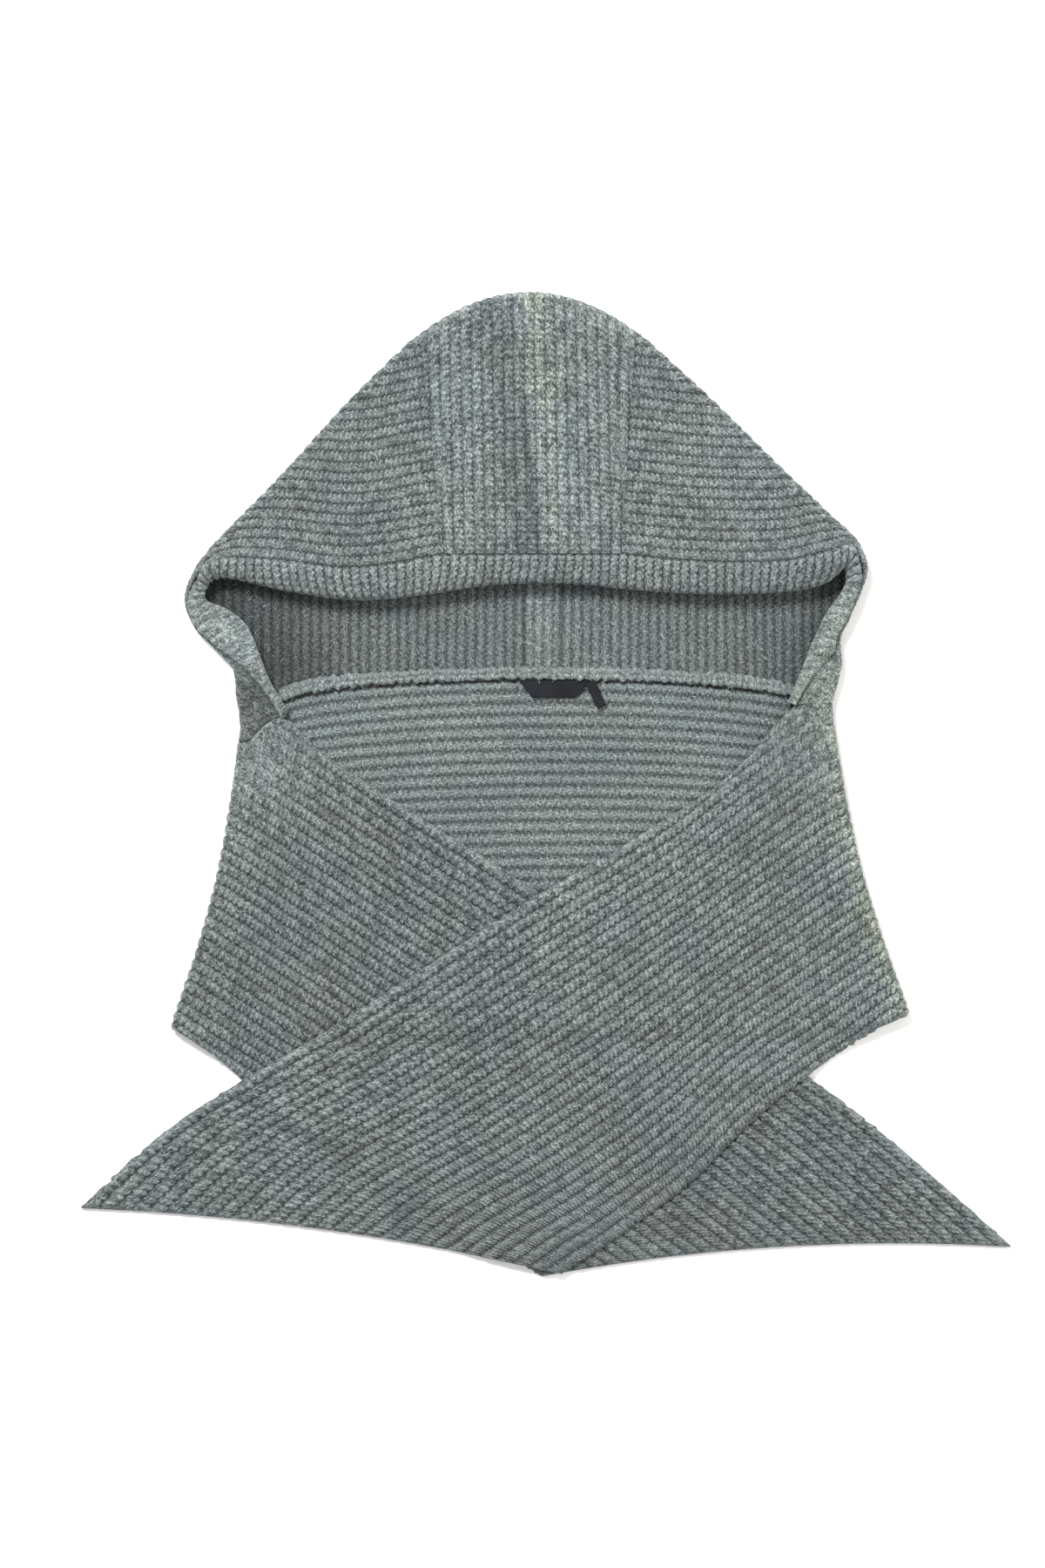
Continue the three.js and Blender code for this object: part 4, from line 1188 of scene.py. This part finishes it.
def free_edge(s):
    def at(side, q):
        row = side.row(np.clip(q, 0, 1))
        droop = BAND_DROOP * (1 - smooth((np.clip(q, 0, 1) - 0.3) / 0.2))
        return hood_point(row["free_x"], row["free_y"], row["free_z"] - droop)

    share = (s + 1) / 2
    middle = mix(at(LEFT, 0 * s), at(RIGHT, 0 * s), share[..., None])
    middle[..., 1] += BROW_DIP * (1 - s * s)
    return all_round(s, at(LEFT, -1 - s), middle, at(RIGHT, s - 1))


def band_surface(s, b):
    """Middle of the band from its seam, b 0, to its free edge, b 1; it leaves the hood as the hood runs."""
    s = np.clip(s, -2, 2)
    edge, inside = front_edge(s)
    free = free_edge(s)
    width = length_of(edge - free)[..., None]
    onward = unit(edge - inside)
    begin = edge + onward * 0.2
    bend = begin + onward * 0.35 * width
    across = b[..., None]
    return mix(mix(begin, bend, across), mix(bend, free, across), across)


def band_half(s, b):
    """Half the band's thickness: it swells from the seam on and is rounded off at the free edge."""
    full = BAND_THICKNESS / 2
    rising = mix(WALL / 2, full, smooth(b / 0.25))
    rounded = full * np.sqrt(np.maximum(1 - ((b - 0.7) / 0.3) ** 2, 0.0))
    return np.where(b > 0.7, rounded, rising)


band_places = np.linspace(-2, 2, 1201)
band_middle = band_surface(band_places, 0 * band_places + 0.5)
band_run = run_along(band_middle)


def band_knit(s, b):
    run = np.interp(s, band_places, band_run)
    width = length_of(band_surface(s, 0 * b) - band_surface(s, 0 * b + 1))
    return run / BAND_PITCH, b * width / COURSE_PITCH


band_ss = list(np.interp(np.arange(0, band_run[-1], 1.2), band_run, band_places)) + [2.0]
band_bs = [0, 0.03, 0.08, 0.14, 0.2, 0.26, 0.33, 0.4, 0.47, 0.54, 0.6, 0.66, 0.72, 0.78, 0.84, 0.89, 0.93]
band_bs += [0.96, 0.985, 0.998]
band_wool = knit_material("band_wool", furrow=0.08, brightness=0.51, seed=120.0)


def band_gain(s, b):
    return smooth(b / 0.1) * (1 - 0.8 * smooth((b - 0.9) / 0.1))


def band_look(s, b, side):
    """Soft ribs over the brow with painted shade, broken by a ripple, along the seam behind them; the band is
    a little paler all along, and past the corners it is brushed nearly smooth and carries a painted
    highlight, stronger at the right corner.
    """
    corner = smooth((np.abs(s) - 1.42) / 0.15)
    # Painted shade along the seam's groove between band and hood.
    seam = (1 - smooth((b - 0.02) / 0.06)) * (1 - corner) * (1 + 0.5 * ripple(s * 90, s * 40, 41))
    # Painted highlight at the corners, stronger on the right.
    pale = 0.2 + corner * np.where(s > 0, 0.45, 0.2) - 1.3 * seam
    return point(0.6 * corner, pale, 0.35)


band = knit_shell(
    "folded_rib_band",
    band_surface,
    (band_knit, band_knit),
    (band_ss, band_bs, band_gain),
    (band_ss, band_bs, band_gain),
    turned=True,
    half=band_half,
    look=band_look,
)
relief = {"rib_height": 1.2, "stitch_height": 0.3, "fullness": 2.4, "inside_height": 1.1}
fuzz = finish_knit(band, "band_knit", "face_band", band_wool, 60000.0, **relief)

# Neck seam
#
# The rolled allowance of the same wool where hood and scarf are sewn together. It stands up inside along
# the nape, lumpy where the stitches pull it in.

ALLOWANCE_WIDTH = 9
ALLOWANCE_HEIGHT = 4.8
SEAM_FROM = 2.15
SEAM_TO = 2.85
SEAM_TOP = LAYER
SEAM_STEPS = 420
SEAM_CORNERS = 32

seam_us = np.linspace(SEAM_FROM, SEAM_TO, SEAM_STEPS)
seam_line = scarf(seam_us, 0 * seam_us)
seam_run = run_along(seam_line)
round_angles = np.linspace(0, math.tau, SEAM_CORNERS, endpoint=False)
run = seam_run[:, None] + 0 * round_angles[None, :]
around = round_angles[None, :] + 0 * run
lumps = 0.7 * ripple(run / 0.9, around * 3, 31) + 1.2 * ripple(run / 2.2, around * 2, 33)
swell = 1 + 0.10 * ripple(run / 9, around, 32)
across = 0.5 + 0.5 * np.cos(around)
up = 0.5 + 0.5 * np.sin(around)
crease = 1 - 0.35 * np.exp(-(((across - 0.45) / 0.12) ** 2)) * (up > 0.5)
fade = np.sqrt(np.maximum(1 - np.abs(2 * run / seam_run[-1] - 1) ** 30, 0.02))
rings = point(
    seam_line[:, 0:1] + 0 * run,
    seam_line[:, 1:2] + 0.5 + across * ALLOWANCE_WIDTH * swell + 0.6 * lumps * np.cos(around),
    SEAM_TOP + up * crease * ALLOWANCE_HEIGHT * swell * fade + 0.6 * lumps * up,
)
faces = []
for k in range(SEAM_STEPS - 1):
    for i in range(SEAM_CORNERS):
        a, b = k * SEAM_CORNERS + i, k * SEAM_CORNERS + (i + 1) % SEAM_CORNERS
        faces.append((a, b, b + SEAM_CORNERS, a + SEAM_CORNERS))
faces.append(tuple(range(SEAM_CORNERS)))
faces.append(tuple(range((SEAM_STEPS - 1) * SEAM_CORNERS, SEAM_STEPS * SEAM_CORNERS)))
outward = point(0 * run, np.cos(around), np.sin(around)).reshape(-1, 3)
seam_attributes = {
    "knit": point(run / 5.0, around, 0.6).reshape(-1, 3),
    # Painted highlight: the roll is paler towards its top.
    "look": point(0.6 + 0 * run, 0.45 * up, 0.0).reshape(-1, 3),
    "lift": outward,
}
seam = mesh_object("nape_roll", rings.reshape(-1, 3), faces, seam_attributes)
seam.data.materials.append(band_wool)
fuzz_on(seam, 120000.0)
finish_piece(seam, "band_knit", "neck_seam")

# Labels
#
# Two pieces of dark woven ribbon caught in the neck seam: a wide label with its lower corners cut off, and a
# narrow tab that hangs askew beside it.

DARK_RIBBON = (0.003, 0.003, 0.004)
PALE_RIBBON = (0.011, 0.012, 0.017)
LABEL_WIDTH = 52.5
LABEL_HEIGHT = 13
CORNER_CUT = 0.19 * LABEL_WIDTH
LABEL_THICKNESS = 1.2
LABEL_OFFSET = 9
TAB_WIDTH = 7.8
TAB_LENGTH = 21
TAB_GAP = 0.5
TAB_DROP = 1.0
TAB_TILT = 25


def ribbon_material(name):
    material, tree, surface = new_material(name)
    place = tree.add("ShaderNodeTexCoord").outputs["Object"]
    warp = tree.add(
        "ShaderNodeTexWave", {"Vector": place, "Scale": 700.0, "Distortion": 1.5, "Detail": 1.0}
    ).outputs[1]
    weft = tree.add(
        "ShaderNodeTexWave",
        {"Vector": place, "Scale": 420.0, "Distortion": 1.0, "Detail": 1.0},
        bands_direction="Y",
    ).outputs[1]
    cloud = tree.noise(place, 90.0, 3.0)
    threads = tree.math("MULTIPLY_ADD", warp, 0.5, tree.times(weft, 0.5))
    tone = tree.math("MULTIPLY_ADD", cloud, 0.5, tree.times(threads, 0.5))
    colour = tree.colour(tree.between(tone, 0.25, 0.75), DARK_RIBBON, PALE_RIBBON)
    tree.feed(surface["Base Color"], colour)
    surface["Roughness"].default_value = 0.6
    surface["Specular IOR Level"].default_value = 0.12
    bump = tree.add("ShaderNodeBump", {"Strength": 0.5, "Distance": 0.0002, "Height": threads})
    tree.feed(surface["Normal"], bump.outputs[0])
    return material


def ribbon_plate(name, width, height, corner_cut, origin, turn):
    """A thin woven plate hanging from its top edge, slightly bowed."""
    xs = np.linspace(-0.5, 0.5, 45)
    ys = np.linspace(0, 1, 15)
    x, y = np.meshgrid(xs, ys, indexing="ij")
    spread = width - 2 * corner_cut * y
    bow = 0.35 * np.sin(np.pi * (x + 0.5) * 2.0) * y
    flat = point(x * spread, -y * height, bow)
    cos, sin = math.cos(math.radians(turn)), math.sin(math.radians(turn))
    parts = []
    for lift in (LABEL_THICKNESS, 0.0):
        raised = flat.copy()
        raised[..., 2] = np.maximum(raised[..., 2], -0.2) + lift
        placed = point(
            raised[..., 0] * cos - raised[..., 1] * sin,
            raised[..., 0] * sin + raised[..., 1] * cos,
            raised[..., 2],
        )
        parts.append((placed + origin).reshape(-1, 3))
    rows, columns = x.shape
    first = rows * columns
    faces = grid_faces(rows, columns) + grid_faces(rows, columns, first)
    top = np.arange(first).reshape(rows, columns)
    rims = [top[0], top[-1], top[:, 0], top[:, -1]]
    for rim in rims:
        faces += [(a, b, b + first, a + first) for a, b in zip(rim, rim[1:])]
    return mesh_object(name, np.concatenate(parts), faces)


ribbon = ribbon_material("label_ribbon")
nape_middle = mix(LEFT.nape_point, RIGHT.nape_point, 0.5)
label_origin = np.array([nape_middle[0] + LABEL_OFFSET, nape_middle[1], SEAM_TOP + 0.25])
label = ribbon_plate("nape_label", LABEL_WIDTH, LABEL_HEIGHT, CORNER_CUT, label_origin, 0)
tab_origin = label_origin + np.array([LABEL_WIDTH / 2 + TAB_GAP, -TAB_DROP, LABEL_THICKNESS + 0.3])
tab = ribbon_plate("nape_tab", TAB_WIDTH, TAB_LENGTH, 0.5, tab_origin, TAB_TILT)
label.data.materials.append(ribbon)
tab.data.materials.append(ribbon)
finish_piece(label, "woven_label", "brand_label")
finish_piece(tab, "woven_label", "size_tab")

# Studio
#
# The garment lies on a floor of white paper under large soft lights, and the camera looks straight down
# on it. Lengths here are in metres, in the model's own frame.

VIEW_CENTRE = (-0.01755, 0.0)
VIEW_HEIGHT = 1.17
CAMERA_HEIGHT = 3.2
FLOOR_REACH = 6.0
FLOOR_DROP = -0.0005
FLOOR_CORNERS = ((-1, -1), (1, -1), (1, 1), (-1, 1))
FLOOR_PAPER = (0.93, 0.93, 0.93, 1)
SKY_STRENGTH = 0.62

scene = bpy.context.scene
floor_mesh = bpy.data.meshes.new("floor")
floor_mesh.from_pydata(
    [(x * FLOOR_REACH, y * FLOOR_REACH, FLOOR_DROP) for x, y in FLOOR_CORNERS], [], [(0, 1, 2, 3)]
)
floor = bpy.data.objects.new("floor", floor_mesh)
scene.collection.objects.link(floor)
floor_material, _, paper = new_material("floor_paper")
paper["Base Color"].default_value = FLOOR_PAPER
paper["Roughness"].default_value = 0.9
floor_mesh.materials.append(floor_material)

camera_data = bpy.data.cameras.new("camera")
camera_data.lens = camera_data.sensor_width * CAMERA_HEIGHT / VIEW_HEIGHT
camera = bpy.data.objects.new("camera", camera_data)
camera.location = (*VIEW_CENTRE, CAMERA_HEIGHT)
scene.collection.objects.link(camera)
scene.camera = camera

# Columns: name, place, size, power in watts, tint.
LIGHTS = [
    ("key", (-0.95, 1.6, 2.25), 0.8, 145.0, (1.0, 1.0, 1.0)),
    ("rim", (2.4, 0.3, 1.1), 1.0, 42.0, (1.0, 0.97, 0.88)),
    ("low", (0.2, -1.8, 1.8), 1.6, 11.5, (1.0, 1.0, 1.0)),
]
for name, place, size, power, tint in LIGHTS:
    lamp = bpy.data.lights.new(name, "AREA")
    lamp.size = size
    lamp.energy = power
    lamp.color = tint
    light = bpy.data.objects.new(name, lamp)
    light.location = place
    aim = math.atan2(math.hypot(place[0], place[1]), place[2])
    light.rotation_euler = (aim, 0, math.atan2(place[0], -place[1]))
    scene.collection.objects.link(light)

world = bpy.data.worlds.new("studio")
world.use_nodes = True
world.node_tree.nodes["Background"].inputs["Color"].default_value = (1, 1, 1, 1)
world.node_tree.nodes["Background"].inputs["Strength"].default_value = SKY_STRENGTH
scene.world = world
scene.view_settings.view_transform = "Standard"
